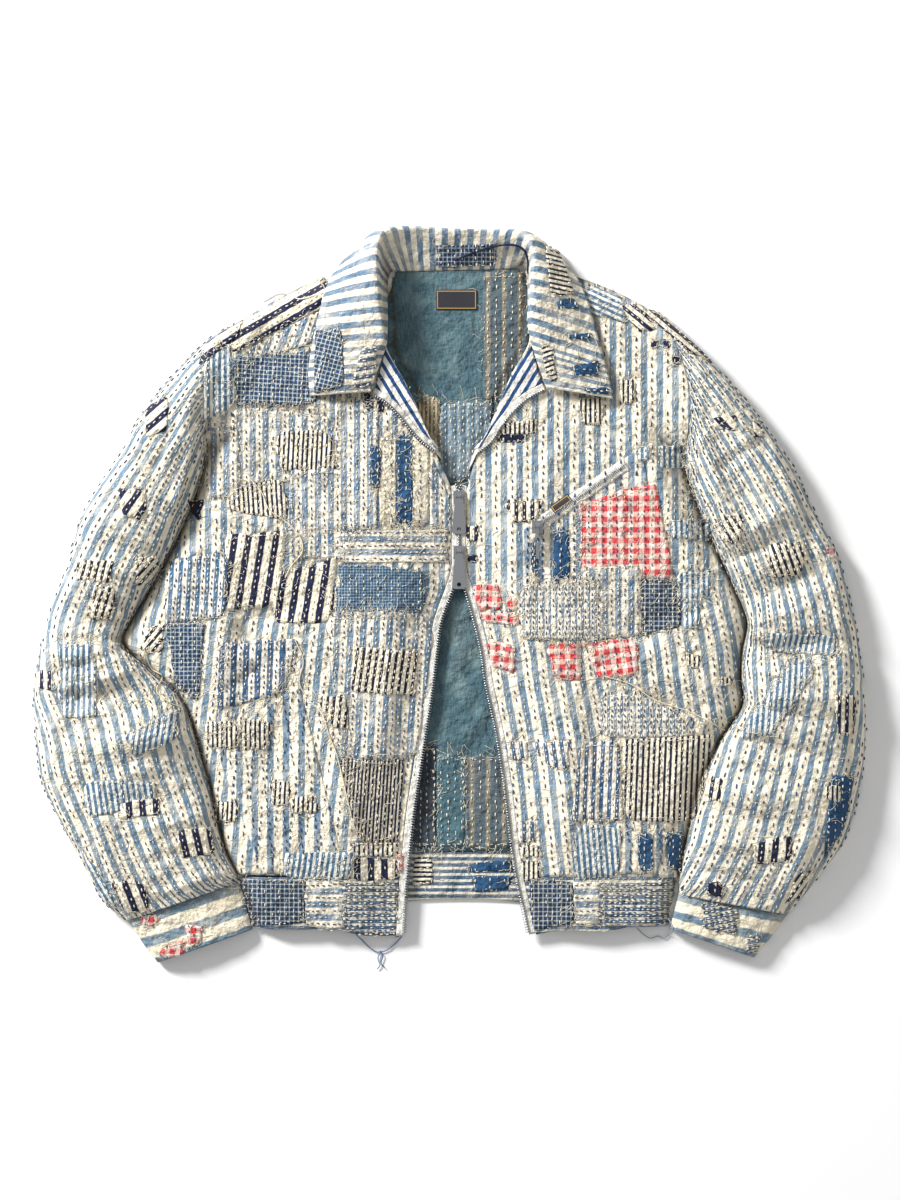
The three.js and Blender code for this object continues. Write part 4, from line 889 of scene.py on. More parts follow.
def lengths(x: Array, y: Array) -> Array:
    """Distance travelled along a line of plan places, from 0."""
    return np.concatenate([[0.0], np.cumsum(np.hypot(np.diff(x), np.diff(y)))])


# Sleeves, fronts and back


@dataclass
class Sleeve:
    """One sleeve: its upper cloth, the flat cloth under it and its cuff."""

    side: str
    stations: Rows
    cuff: Rows
    owner: int
    rows: int = 190
    cols: int = 84

    def middle(self, t: Array) -> Pair:
        """Middle of the crossing at each station."""
        t = np.clip(t, 0, self.stations.last)
        at = self.stations.at
        return (at("outX", t) + at("inX", t)) / 2, (at("outY", t) + at("inY", t)) / 2

    def crossing(self, t: Array, chord: Array) -> Surface:
        """Plan place across the sleeve and its width there.

        Args:
            t: fractional station.
            chord: share of the way from the outer to the inner edge.

        Returns:
            Plan x and y, bowed towards the cuff, and the crossing's width.
        """
        at = self.stations.at
        ax, ay = at("inX", t) - at("outX", t), at("inY", t) - at("outY", t)
        width = np.hypot(ax, ay)
        before, after = self.middle(t - 0.5), self.middle(t + 0.5)
        facing = -ay * (after[0] - before[0]) + ax * (after[1] - before[1])
        sign = np.where(facing < 0, -1, 1)
        push = 4 * chord * (1 - chord) * at("bow", t) * sign / width
        return at("outX", t) + ax * chord - ay * push, at("outY", t) + ay * chord + ax * push, width

    def surface(self, t: Array, turn: Array) -> Surface:
        """Arched upper cloth: its height is the station's times the 0.7th power of a sine.

        Args:
            t: fractional station.
            turn: share of the half turn across, 0 outer to 1 inner.

        Returns:
            Plan x, y and height.
        """
        c, s = np.cos(np.pi * turn), np.clip(np.sin(np.pi * turn), 0, 1)
        chord = 0.5 * (1 - np.sign(c) * np.abs(c) ** 0.8)
        rise = np.where(s <= 1e-9, 0, s**0.7)
        x, y, width = self.crossing(t, chord)
        height = self.stations.at("height", t) * rise
        free = np.clip(height / 24, 0, 1) * np.clip(t / 1.5, 0, 1) * np.clip(width / 80, 0, 1)
        z = height + fold_height(SLEEVE_FOLDS, x, y) * free
        return x, y, worn_surface(x, y, z)

    def mapped(self, t: Array, turn: Array) -> tuple[Array, Array, Array, Array]:
        """Grid of the upper cloth with the way over the cloth from its middle line.

        Args:
            t: fractional stations of the rows.
            turn: shares of the half turn of the columns.

        Returns:
            Plan x, y, height and the way across, below 0 towards the outer edge.
        """
        x, y, z = self.surface(t[:, None], turn[None, :])
        steps = np.sqrt(np.diff(x) ** 2 + np.diff(y) ** 2 + np.diff(z) ** 2)
        run = np.pad(np.cumsum(steps, axis=1), ((0, 0), (1, 0)))
        half = len(turn) // 2
        return x, y, z, run - run[:, half - 1:half + 1].mean(axis=1, keepdims=True)

    def build(self, relief: Relief) -> list[Piece]:
        """Makes the upper cloth, the under cloth and the cuff.

        Args:
            relief: raster that takes the sleeve's top.

        Returns:
            The pieces.
        """
        t = np.linspace(0, self.stations.last, self.rows)
        x, y, z, u = self.mapped(t, np.linspace(0, 1, self.cols))
        v = lengths(*self.middle(t))[:, None]
        relief.stamp(x, y, z, self.owner)
        name = f"sleeve_{self.side}"
        upper = cloth_piece(f"{name}_cloth", x, y, z, u, v, FINISHES["BS"], f"{name}_upper")
        c = np.linspace(0.03, 0.97, 24)[None, :]
        t = np.linspace(0.2, self.stations.last, 90)[:, None]
        x, y, width = self.crossing(t, c)
        under = cloth_piece(
            f"{name}_under_cloth", x, y, 1.5 + 0 * x, c * width, 45 * t + 0 * x,
            FINISHES["BS"], f"{name}_under", 1.4,
        )
        return [upper, under, self.build_cuff(relief)]

    def build_cuff(self, relief: Relief) -> Piece:
        """Makes the cuff as a flattened ring whose top is rounder than its foot.

        Args:
            relief: raster that takes the cuff's top.

        Returns:
            The cuff.
        """
        around, foot = 128, 4.0
        t = np.linspace(0, 2, 26)[:, None]
        turn = np.linspace(0, 2 * np.pi, around, endpoint=False)[None, :]
        c, s = np.cos(turn), np.sin(turn)
        chord = 0.5 * (1 - np.sign(c) * np.abs(c) ** 0.85)
        at = self.cuff.at
        top = foot + (at("height", t) - foot) * np.maximum(0, s) ** 0.75
        bottom = np.maximum(0.05, foot - 2 * foot * np.abs(s))
        x, y = mix(at("outX", t), at("inX", t), chord), mix(at("outY", t), at("inY", t), chord)
        z = np.where(s >= 0, worn_surface(x, y, top), bottom + 0 * t)
        half = around // 2 + 1
        relief.stamp(x[:, :half], y[:, :half], z[:, :half], OWN_CUFF)
        width = np.hypot(at("outX", t) - at("inX", t), at("outY", t) - at("inY", t))
        cuff = cloth_piece(
            f"cuff_{self.side}_cloth", x, y, z, 24.5 * t + 6 + 0 * x, chord * width,
            FINISHES["CUFFS"], f"cuff_{self.side}", ring=True,
        )
        return cuff


@dataclass
class Tape:
    """Zip tape along a line of teeth."""

    rows: Rows
    side: int

    def edges(self, steps: Array, extra: float = 0.0) -> tuple[Array, Array, Array, Array]:
        """Teeth edge and sewn edge: the sewn edge lies the tape's width square off the teeth.

        Args:
            steps: fractional rows.
            extra: added width.

        Returns:
            Plan x and y of the teeth edge, then of the sewn edge.
        """
        at = self.rows.at
        after, before = np.minimum(self.rows.last, steps + 0.1), np.maximum(0, steps - 0.1)
        wx, wy = at("tx", after) - at("tx", before), at("ty", after) - at("ty", before)
        off = self.side * (at("width", steps) + extra) / np.hypot(wx, wy)
        tx, ty = at("tx", steps), at("ty", steps)
        return tx, ty, tx - wy * off, ty + wx * off

    def strip(self, rows: int, cols: int) -> tuple[Array, Array, Array, Array]:
        """Grid of the tape between its two edges.

        Args:
            rows: places along it.
            cols: places across it.

        Returns:
            Fractional rows as a column, shares of the width as a row, plan x and y.
        """
        t = np.linspace(0, self.rows.last, rows)
        tx, ty, sx, sy = (edge[:, None] for edge in self.edges(t))
        c = np.linspace(0, 1, cols)[None, :]
        return t[:, None], c, mix(tx, sx, c), mix(ty, sy, c)

    def sewn_x(self, y: Array) -> Array:
        """x of the sewn edge at plan y."""
        steps = np.linspace(0, self.rows.last, 120)
        edge = self.edges(steps)
        return np.interp(y, edge[3], edge[2])


@dataclass
class Front:
    """One front panel from the shoulder and sleeve to the neck, lapel and zip, with its hem band."""

    side: str
    sign: int
    table: Rows
    sleeve: Sleeve
    tape: Tape
    hem: Rows
    owner: int
    rows: int = 164
    cols: int = 100

    def beside_sleeve(self, t: Array, gap: float) -> Surface:
        """Outer end of each row: a place on the sleeve's surface, moved off by the gap.

        Args:
            t: fractional rows.
            gap: millimetres between the front and the sleeve.

        Returns:
            Plan x, y and height.
        """
        def place(s: Array) -> Surface:
            """Point of the sleeve at a row of the front."""
            at = np.clip(s, 0, self.table.last)
            station = np.maximum(0, self.table.at("station", at))
            return self.sleeve.surface(station, np.clip(self.table.at("turn", at), 0, 1))

        x, y, z = place(t)
        after, before = place(t + 0.12), place(t - 0.12)
        wx, wy = after[0] - before[0], after[1] - before[1]
        length = np.hypot(wx, wy)
        facing = -wy * (self.table.at("inX", t) - x) + wx * (self.table.at("inY", t) - y)
        off = np.where(facing < 0, -gap, gap) / length
        return x - wy * off, y + wx * off, np.maximum(0, z)

    def ends(self, t: Array, gap: float) -> dict[str, Array]:
        """Both ends of each row, with its bow, crown and heights.

        Args:
            t: fractional rows.
            gap: millimetres between the front and the sleeve.

        Returns:
            Arrays by column name.
        """
        x, y, z = self.beside_sleeve(t, gap)
        in_y = self.table.at("inY", t)
        in_x = np.where(in_y > ROLL_END, self.tape.sewn_x(in_y) - self.sign * SEAM, self.table.at("inX", t))
        row = {name: self.table.at(name, t) for name in ("bow", "inZ", "crown")}
        return {**row, "outX": x, "outY": y, "outZ": z, "inX": in_x, "inY": in_y}

    def surface(self, t: Array, c: Array) -> Surface:
        """Front between its ends: rounded up from the sleeve, crowned, and eased to the zip.

        Args:
            t: fractional rows.
            c: share of the way from the outer end to the zip.

        Returns:
            Plan x, y and height.
        """
        row = self.ends(t, SEAM)
        width = np.hypot(row["inX"] - row["outX"], row["inY"] - row["outY"])
        x = mix(row["outX"], row["inX"], c)
        y = mix(row["outY"], row["inY"], c) - 4 * c * (1 - c) * row["bow"]
        from_out, from_in = c * width, (1 - c) * width
        seamed = np.clip(row["outZ"] / 8, 0, 1)
        side = mix(round_rise(from_out / SIDE_ROUND), smooth(from_out / EDGE_BLEND), seamed)
        held = mix(row["outZ"], np.maximum(1, row["crown"]), side)
        base = mix(row["inZ"], held, smooth(from_in / EDGE_BLEND))
        free = np.clip((from_out - 6) / 30, 0, 1) * np.clip((from_in - 4) / 40, 0, 1)
        z = (base + fold_height(BODY_FOLDS, x, y) * free) * round_rise(t)
        return x, y, worn_surface(x, y, z)

    def lean(self, y: Array) -> Array:
        """How far the stripes lean with the zip's edge below its lower slider."""
        moved = self.tape.sewn_x(y) - self.tape.sewn_x(np.array(LOWER_SLIDER))
        return np.where(y > LOWER_SLIDER, -0.85 * moved, 0)

    def build(self, relief: Relief) -> list[Piece]:
        """Makes the front and its hem band.

        Args:
            relief: raster that takes their tops.

        Returns:
            The two pieces.
        """
        t = np.concatenate([np.linspace(0, 1, 16)[:-1], np.linspace(1, 19, self.rows - 15)])[:, None]
        c = np.linspace(0, 1, self.cols)[None, :] ** 1.15
        x, y, z = self.surface(t, c)
        relief.stamp(x, y, z, self.owner)
        name = f"front_{self.side}"
        front = cloth_piece(f"{name}_cloth", x, y, z, x + self.lean(y), y, FINISHES["BS"], name)
        return [front, self.build_hem(relief)]

    def build_hem(self, relief: Relief) -> Piece:
        """Makes the hem band, waved at its free edge.

        Args:
            relief: raster that takes its top.

        Returns:
            The band.
        """
        t = np.linspace(0, 2, 26)[:, None]
        c = np.linspace(0, 1, 84)[None, :] ** 1.3
        at = self.hem.at
        width = np.abs(at("inX", t) - at("outX", t))
        x = mix(at("outX", t), at("inX", t), c)
        y = mix(at("outY", t), at("inY", t), c) + np.sin(3 * np.pi * c) * at("sag", t)
        side = round_rise(c * width / (0.8 * SIDE_ROUND))
        z = mix(at("inZ", t), at("crown", t) * side, smooth((1 - c) * width / EDGE_BLEND))
        z = worn_surface(x, y, z)
        relief.stamp(x, y, z, OWN_HEM)
        name = f"hem_front_{self.side}"
        hem = cloth_piece(f"{name}_cloth", x, y, z, y, x, FINISHES["HS"], name)
        return hem


@dataclass
class Back:
    """The flat back, its lining and its hem band."""

    left: Front
    right: Front
    level: float = 1.5

    def build_back(self) -> Piece:
        """Makes the back between the two fronts' outer ends, with its hem seam curved up.

        Returns:
            The back.
        """
        t = np.linspace(0.4, 19, 110)[:, None]
        left, right = self.left.ends(t, 2.2), self.right.ends(t, 2.2)
        c = np.linspace(0, 1, 22)[None, :]
        (lx, ly), (rx, ry) = (
            (mix(row["outX"], row["inX"], c), mix(row["outY"], row["inY"], c) - 4 * c * (1 - c) * row["bow"])
            for row in (left, right)
        )
        x = np.concatenate([lx, rx[:, ::-1]], axis=1)
        y = np.concatenate([ly, ry[:, ::-1]], axis=1)
        share = np.clip((x - left["outX"]) / (right["outX"] - left["outX"]), 0, 1)
        rise = BACK_HEM_LIFT * np.clip((t - 14) / 5, 0, 1) ** 2
        y = y - 4 * share * (1 - share) * rise
        back = cloth_piece("back_cloth", x, y, self.level + 0 * x, x, y, FINISHES["BS"], "back", 1.4)
        return back

    def build_lining(self, relief: Relief) -> Piece:
        """Makes the lining with low wrinkles, more of them between its two seams.

        Args:
            relief: raster that takes its top.

        Returns:
            The lining.
        """
        rows = Rows("leftX leftY rightX rightY", """
396 272.3 519 269.3; 390 292 525 290; 374 322 544 322; 345 360 575 360; 330 420 590 420;
325 500 600 500; 322 590 604 590; 320 680 608 680; 318 770 612 770; 316 851 616 851
""")
        t = np.linspace(0, 9, 130)[:, None]
        c = np.linspace(0, 1, 62)[None, :]
        x, y = (mix(rows.at("left" + axis, t), rows.at("right" + axis, t), c) for axis in "XY")
        seam = np.exp(-((x - 473) / 2.2) ** 2) * np.clip((y - 600) / 30, 0, 1) * np.clip((760 - y) / 20, 0, 1)
        wrinkled = smooth((y - 560) / 40) * smooth((770 - y) / 30)
        ends = np.clip(t / 0.3, 0, 1) * np.clip((9 - t) / 0.2, 0, 1)
        waves = 0.9 * rumple(x, y, 26, 11) + wrinkled * (2.6 * rumple(x + 0.6 * y, 0.4 * y, 13, 12) + 0.8)
        z = LINING_TOP + ends * np.maximum(-1.2, waves + 0.3 - 1.4 * seam)
        relief.stamp(x, y, z, 1)
        lining = cloth_piece("back_lining_cloth", x, y, z, x, y, FINISHES["LINING"], "back_lining", 1.0)
        return lining

    def build_hem(self, relief: Relief) -> Piece:
        """Makes the back hem band, doubled cloth whose inside shows, curved up in the middle.

        Args:
            relief: raster that takes its top.

        Returns:
            The band.
        """
        share = np.linspace(0, 1, 120)[None, :]
        k = np.linspace(0, 2, 26)[:, None]
        inset = 3.0
        x = mix(self.left.hem.at("outX", k) + inset, self.right.hem.at("outX", k) - inset, share)
        y = HEM_SEAM + k * (HEM_DEPTH - 2) / 2 - 4 * share * (1 - share) * BACK_HEM_LIFT
        fade = np.clip(k / 0.2, 0, 1) * np.clip((2 - k) / 0.2, 0, 1)
        rounded = 1 - round_rise(np.minimum(k, 2 - k) / 0.15)
        z = 3.4 + 0.5 * fade * rumple(x, y, 18, 21) - 1.3 * rounded
        relief.stamp(x, y, z, 2)
        hem = cloth_piece("hem_back_cloth", x, y, z, y, x, FINISHES["HS"], "hem_back", 2.8, slot=STRIPED)
        return hem


# Collar and facings


@dataclass
class Collar:
    """Stand and folded leaf of the collar, the facings, the lapel tapes and the hanger loop."""

    facing_lift: float = 2.7
    facing_slant: float = 0.55

    def points(self, t: Array, s: Array) -> Array:
        """Profile at each station: a centripetal curve through five points.

        The points are the neck seam, the middle of the stand, the roll, the middle of the leaf
        (pushed out by the swell and up by 2 mm) and the free edge.

        Args:
            t: stations as a column.
            s: shares of the profile as a row.

        Returns:
            Plan x, y and height, stations by shares by 3.
        """
        at = COLLAR.at
        t = t[:, 0]
        neck, roll, edge = (np.stack([at(end + axis, t) for axis in "xyz"], axis=-1) for end in "nre")
        edge[:, 2] = np.maximum(0.4, edge[:, 2])
        away = roll - neck
        away[:, 2] = 0
        away /= np.linalg.norm(away, axis=-1, keepdims=True)
        leaf = (roll + edge) / 2 + away * at("swell", t)[:, None]
        leaf[:, 2] += 2
        stops = [neck, (neck + roll) / 2, roll, leaf, edge]
        stops = [2 * stops[0] - stops[1], *stops, 2 * stops[-1] - stops[-2]]
        place = s[0] * 4
        part = np.minimum(place.astype(int), 3)
        result = np.empty((len(t), s.shape[1], 3))
        for k in range(4):
            inside = part == k
            p0, p1, p2, p3 = stops[k:k + 4]
            d0, d1, d2 = (
                np.sqrt(np.linalg.norm(b - a, axis=-1, keepdims=True)) + 1e-6
                for a, b in ((p0, p1), (p1, p2), (p2, p3))
            )
            m1 = ((p1 - p0) / d0 - (p2 - p0) / (d0 + d1) + (p2 - p1) / d1) * d1
            m2 = ((p2 - p1) / d1 - (p3 - p1) / (d1 + d2) + (p3 - p2) / d2) * d1
            f = (place[inside] - k)[None, :, None]
            p1, p2, m1, m2 = (q[:, None, :] for q in (p1, p2, m1, m2))
            cube = (2 * p1 - 2 * p2 + m1 + m2) * f**3
            result[:, inside] = p1 + m1 * f + (3 * p2 - 3 * p1 - 2 * m1 - m2) * f**2 + cube
        return result

    def build(self, relief: Relief) -> list[Piece]:
        """Makes the collar's cloth and lays it on the raster.

        Args:
            relief: raster that takes the collar's top.

        Returns:
            The collar.
        """
        t = np.linspace(0, COLLAR.last, 172)[:, None]
        s = np.linspace(0, 1, 50)[None, :]
        grid = self.points(t, s)
        x, y, z = grid[..., 0], grid[..., 1], grid[..., 2]
        inner = np.clip(s * (1 - s) * 12, 0, 1) * np.clip(t, 0, 1) * np.clip(18 - t, 0, 1)
        z = z + inner * (0.9 * rumple(x, y, 15, 31) + 0.35 * rumple(x, y, 7, 32))
        z = np.maximum(z, 0.4)
        relief.stamp(x, y, z, 1)
        roll = grid[:, len(s[0]) // 2]
        u = lengths(roll[:, 0], roll[:, 1])[:, None] + 0 * x
        depth = np.cumsum(np.concatenate([[0], np.linalg.norm(np.diff(grid[95], axis=0), axis=-1)]))
        collar = cloth_piece("collar_cloth", x, y, z, u, depth + 0 * x, FINISHES["WS"], "collar")
        return [collar]

    def build_facings(self, under: Relief, over: Relief) -> list[Piece]:
        """Makes the turned-back facings and the zip tapes on the lapels.

        Args:
            under: raster of the fronts.
            over: raster that takes the facings' tops.

        Returns:
            The four pieces.
        """
        made = []
        for side, rows in (("left", FACING_LEFT), ("right", FACING_RIGHT)):
            tape = LAPELS[side]
            t = np.linspace(0, rows.last, 60)
            _, _, sewn_x, sewn_y = tape.edges(t, 0.2)
            c = np.linspace(0, 1, 20)[None, :]
            x = mix(rows.at("ax", t)[:, None], sewn_x[:, None], c)
            y = mix(rows.at("ay", t)[:, None], sewn_y[:, None], c)
            z = under.height(x, y) + self.facing_lift - 1.2
            over.stamp(x, y, z, 2)
            slant = -self.facing_slant if side == "left" else self.facing_slant
            u = x * math.cos(slant) + y * math.sin(slant)
            name = f"facing_{side}"
            piece = cloth_piece(f"{name}_cloth", x, y, z, u, y, FINISHES["FACING"], name, 1.0)
            t, c, x, y = tape.strip(80, 6)
            z = under.height(x, y) + self.facing_lift - 0.8
            strip = cloth_piece(
                f"zip_tape_lapel_{side}_cloth", x, y, z, TAPE_WIDTH * c, 16 * t,
                FINISHES["TAPE"], f"zip_tape_lapel_{side}", THIN,
            )
            made += [piece, strip]
        return made

    def build_loop(self) -> Piece:
        """Makes the hanger loop, a twisted cord on an arc between two points of the stand.

        Returns:
            The loop.
        """
        rings, around = 60, 10
        share = np.linspace(0, 1, rings)
        t = 7.0 + 3.4 * share + 2.2
        s = 0.12 + 0.2 * np.sin(np.pi * share)
        grid = np.stack([self.points(np.array([[a]]), np.array([[b]]))[0, 0] for a, b in zip(t, s)])
        turn = np.linspace(0, 2 * np.pi, around, endpoint=False)
        way = np.gradient(grid, axis=0)
        way /= np.linalg.norm(way, axis=-1, keepdims=True)
        side = np.cross(way, [0, 0, 1.0])
        side /= np.linalg.norm(side, axis=-1, keepdims=True)
        up = np.cross(side, way)
        radius = 1.1 * (1 + 0.18 * np.cos(2 * turn[None, :] + 40 * share[:, None]))[..., None]
        centre = grid[:, None] + [0, 0, 1.9]
        c, s = np.cos(turn)[None, :, None], np.sin(turn)[None, :, None]
        tube = centre + radius * (c * side[:, None] + s * up[:, None])
        points = to_frame(tube[..., 0], tube[..., 1], tube[..., 2]).reshape(-1, 3)
        faces = grid_faces(rings, around, True)[:, ::-1].tolist()
        faces += [list(range(around))[::-1], list(range((rings - 1) * around, rings * around))]
        uv = np.stack(np.meshgrid(turn, share * 60), axis=-1).reshape(-1, 2)
        return add_piece("hanger_loop_cord", points, faces, FINISHES["NP"], uv, "loop_cord", ("hanger_loop",))


# Zip


TAPES = {"left": Tape(TAPE_LEFT, 1), "right": Tape(TAPE_RIGHT, -1)}
LAPELS = {"left": Tape(LAPEL_TAPE_LEFT, -1), "right": Tape(LAPEL_TAPE_RIGHT, 1)}


def blocks(
    x: Array, y: Array, z: Array, angle: Array, length: float, width: float, height: float
) -> Pair:
    """Small blocks with narrower tops, one for each place.

    Args:
        x: plan x of the middles.
        y: plan y of the middles.
        z: height of the feet.
        angle: turn of the long side in plan.
        length: long side.
        width: short side.
        height: from foot to top.

    Returns:
        Points in metres and quads.
    """
    top = 0.7
    foot = np.array([[-1, -1], [1, -1], [1, 1], [-1, 1]]) / 2 * (length, width)
    local = np.concatenate([foot, foot * top])
    c, s = np.cos(angle)[:, None], np.sin(angle)[:, None]
    px = x[:, None] + local[:, 0] * c - local[:, 1] * s
    py = y[:, None] + local[:, 0] * s + local[:, 1] * c
    pz = z[:, None] + np.repeat([0, height], 4)
    quads = np.array([[0, 1, 2, 3], [7, 6, 5, 4], [0, 4, 5, 1], [1, 5, 6, 2], [2, 6, 7, 3], [3, 7, 4, 0]])
    faces = (quads[None] + 8 * np.arange(len(x))[:, None, None]).reshape(-1, 4)
    return to_frame(px, py, pz).reshape(-1, 3), faces


@dataclass
class MainZip:
    """Main zip: its tapes and rows of teeth, and the pocket's. Sliders and pull tabs are CAD nodes."""

    pitch: float = 2.6
    tooth: tuple = (4.2, 1.35, 2.6)
    pocket_tooth: tuple = (4.4, 0.95, 1.0)
    first_tooth: float = 462
    closed_from: float = 492
    closed_to: float = 574

    def build_tapes(self) -> list[Piece]:
        """Makes the two tapes beside the fronts' edges.

        Returns:
            The tapes.
        """
        made = []
        for side, tape in TAPES.items():
            t, c, x, y = tape.strip(150, 8)
            z = tape.rows.at("z", t) + 0.25 * rumple(x, y, 30, 41)
            strip = cloth_piece(
                f"zip_tape_{side}_cloth", x, y, z, TAPE_WIDTH * c, 28 * t,
                FINISHES["TAPE"], f"zip_tape_{side}", THIN,
            )
            made.append(strip)
        return made

    def build_teeth(self, over: Relief) -> list[Piece]:
        """Makes a row of teeth along each tape, meshed where the zip is closed.

        Args:
            over: what the lapels' teeth lie on.

        Returns:
            The rows of teeth.
        """
        made = []
        for side, tape in {**TAPES, **{f"lapel_{k}": v for k, v in LAPELS.items()}}.items():
            fine = np.linspace(0, tape.rows.last, 600)
            fx, fy = tape.rows.at("tx", fine), tape.rows.at("ty", fine)
            run = lengths(fx, fy)
            phase = 0.5 if "right" in side else 0.0
            at = np.interp((np.arange(int(run[-1] / self.pitch)) + phase) * self.pitch, run, fine)
            x, y, sx, sy = tape.edges(at)
            keep = y > (0 if "lapel" in side else self.first_tooth)
            x, y, sx, sy, at = (v[keep] for v in (x, y, sx, sy, at))
            away = np.hypot(sx - x, sy - y)
            ox, oy = (x - sx) / away, (y - sy) / away
            if "lapel" in side:
                z = over.height(x + 2 * (sx - x) / away, y + 2 * (sy - y) / away) + 1.4
                out = 0.4
            else:
                z = tape.rows.at("z", at) - 0.9
                closed = (y > self.closed_from) & (y < self.closed_to)
                out = np.where(closed, 0.55, 0.9)
            angle = np.arctan2(oy, ox)
            points, faces = blocks(x + ox * out, y + oy * out, z, angle, *self.tooth)
            made.append(add_piece(f"zip_teeth_{side}", points, faces, METAL))
        return made

    def build_pocket_teeth(self, over: Relief) -> Piece:
        """Makes the small teeth of the chest pocket's zip across the middle of its tape.

        Args:
            over: what they lie on.

        Returns:
            The teeth.
        """
        a, b, c, d = numbers(QUADS["pocket_chest_zip"])
        start, end = mix(a, d, 0.5), mix(b, c, 0.5)
        t = np.arange(0.06, 0.98, 0.0165)
        x, y = mix(start[0], end[0], t), mix(start[1], end[1], t)
        across = np.arctan2(end[1] - start[1], end[0] - start[0]) + np.pi / 2
        points, faces = blocks(x, y, over.height(x, y), across + 0 * t, *self.pocket_tooth)
        return add_piece("zip_teeth_pocket", points, faces, METAL)


# Patches


@dataclass(frozen=True)
class Patch:
    """A sewn-on patch: four corners, how square its outline is, its cloth and its stripes' turn."""

    corners: Array
    square: float
    finish: str
    grain: float

    @staticmethod
    def read(line: str) -> "Patch":
        """A patch from its line: four corners from the top left round, square, cloth, grain."""
        parts = line.split()
        corners = numbers(";".join(parts[:4]))
        return Patch(corners, float(parts[4]), parts[5], float(parts[6]) if len(parts) > 6 else 0.0)

    def place(self, u: Array, v: Array) -> Pair:
        """Plan place of u, v between -1 and 1, blended between the four corners."""
        return between(self.corners, (u + 1) / 2, (v + 1) / 2)

    def ring(self, angle: Array, reach: Array) -> Pair:
        """Place on a ring of the outline, a superellipse in u and v.

        Args:
            angle: turn from the middle.
            reach: share of the way to the outline.

        Returns:
            Plan x and y.
        """
        c, s = np.cos(angle), np.sin(angle)
        power = 2.4 * self.square - 2
        edge = (np.abs(c) ** power + np.abs(s) ** power) ** (-1 / power)
        return self.place(c * edge * reach, s * edge * reach)

    def size(self) -> float:
        """Mean of the patch's two half widths."""
        a, b, c, d = self.corners
        return float(sum(np.linalg.norm(side) for side in (b - a, c - d, d - a, c - b))) / 8

    def mesh(self, relief: Relief, number: int, rng: np.random.Generator) -> Surface:
        """Thin closed cloth in rings that lies on the raster and raises it.

        Args:
            relief: what it lies on.
            number: its owner number.
            rng: random draws for its torn edge.

        Returns:
            Points, faces and cloth map in millimetres.
        """
        around = int(np.clip(8 * self.size() / 3.9, 28, 96))
        rings = int(np.clip(self.size() / 3.5, 4, 14))
        angle = np.linspace(0, 2 * np.pi, around, endpoint=False)[None, :]
        torn = np.convolve(np.tile(rng.normal(0, 1, around), 3), [0.25, 0.5, 0.25], "same")[around:2 * around]
        phase = rng.uniform(0, 2 * np.pi, 3)[:, None]
        waves = np.sin(np.array([[3], [7], [12]]) * angle + phase) * np.array([[0.8], [0.6], [0.4]])
        uneven = (0.8 * torn + waves.sum(axis=0)) / max(9, self.size())
        reach = np.linspace(0.02, 1, rings)[:, None] * (1 + uneven[None, :])
        x, y = self.ring(angle, reach)
        under = relief.height(x, y)
        top = under + 0.85 + 0.12 * rng.normal(0, 1, (1, around)) * np.linspace(0, 1, rings)[:, None] ** 3
        relief.stamp(*(np.concatenate([values, values[:, :1]], axis=1) for values in (x, y, top)), number)
        top[-1] -= 0.2
        upper, lower = to_frame(x, y, top), to_frame(x, y, under + 0.05)
        points = np.concatenate([upper.reshape(-1, 3), lower.reshape(-1, 3)])
        wall = grid_faces(rings, around, True)
        shift = rings * around
        first, last = np.arange(around), (rings - 1) * around + np.arange(around)
        rim = np.stack([last, last + shift, np.roll(last, -1) + shift, np.roll(last, -1)], axis=-1)
        # Triangles are written with their last corner twice, and lose it before they are meshed.
        spoke = np.stack([0 * first[1:-1], first[1:-1], first[2:], first[2:]], axis=-1)
        faces = np.concatenate([wall, wall[:, ::-1] + shift, rim, spoke[:, [0, 2, 1, 1]], spoke + shift])
        flat = np.stack(turned(x, y, self.grain), axis=-1)
        return points, faces, np.concatenate([flat.reshape(-1, 2)] * 2)


FRONT_LEFT_PATCHES = """
208,342 322,275 338,300 236,354 7 NS 59
246,352 338,302 345,335 250,362 4 WS 20
233,360 315,350 318,408 234,405 5 BC 3
206,352 232,345 238,405 205,425 4 FB
232,408 340,418 338,478 232,486 5 WS
276,433 334,431 336,474 280,470 4 KS 3
205,430 240,430 240,500 205,500 4 WS
236,486 285,480 290,520 228,512 3 KS -4
290,470 350,470 345,560 290,560 5 WS
336,400 378,400 378,530 340,530 6 WS
380,437 396,437 396,525 380,525 10 CR
397,437 412,437 412,525 397,525 10 DN
413,437 429,445 429,525 413,525 10 CR
430,450 450,500 450,530 430,530 6 WS
371,445 382,448 381,490 372,488 3 DN
364,394 372,393 374,410 366,410 8 NP
376,400 384,397 384,413 378,412 8 NP
340,532 450,530 446,562 340,564 6 WS 90
339,563 425,570 424,613 336,612 5 FC
226,535 286,532 280,604 226,612 6 NS 9
276,572 336,560 334,622 274,624 6 NS 9
170,560 228,552 228,618 166,622 5 BB9 3
166,622 206,622 200,700 178,690 5 BC
222,640 300,640 286,690 216,712 5 BB 2
326,612 440,612 418,760 340,760 5 WS 3
352,648 418,650 414,697 352,690 6 KS6 8
320,695 346,695 350,727 326,725 5 KS6 6
340,756 404,762 400,842 358,842 6 DK 4
355,842 400,842 398,856 354,855 6 KS
352,856 399,858 399,879 352,880 8 NS
396,853 410,855 409,872 398,870 3 RC
285,850 356,852 352,878 285,878 5 FB 8
207,722 240,720 240,748 207,746 5 KS
240,716 272,722 270,748 242,748 5 KS
270,780 290,780 290,805 272,804 4 KS 3
292,796 318,795 318,812 292,812 4 KS 3
214,802 238,800 238,822 216,820 4 KS 3
"""
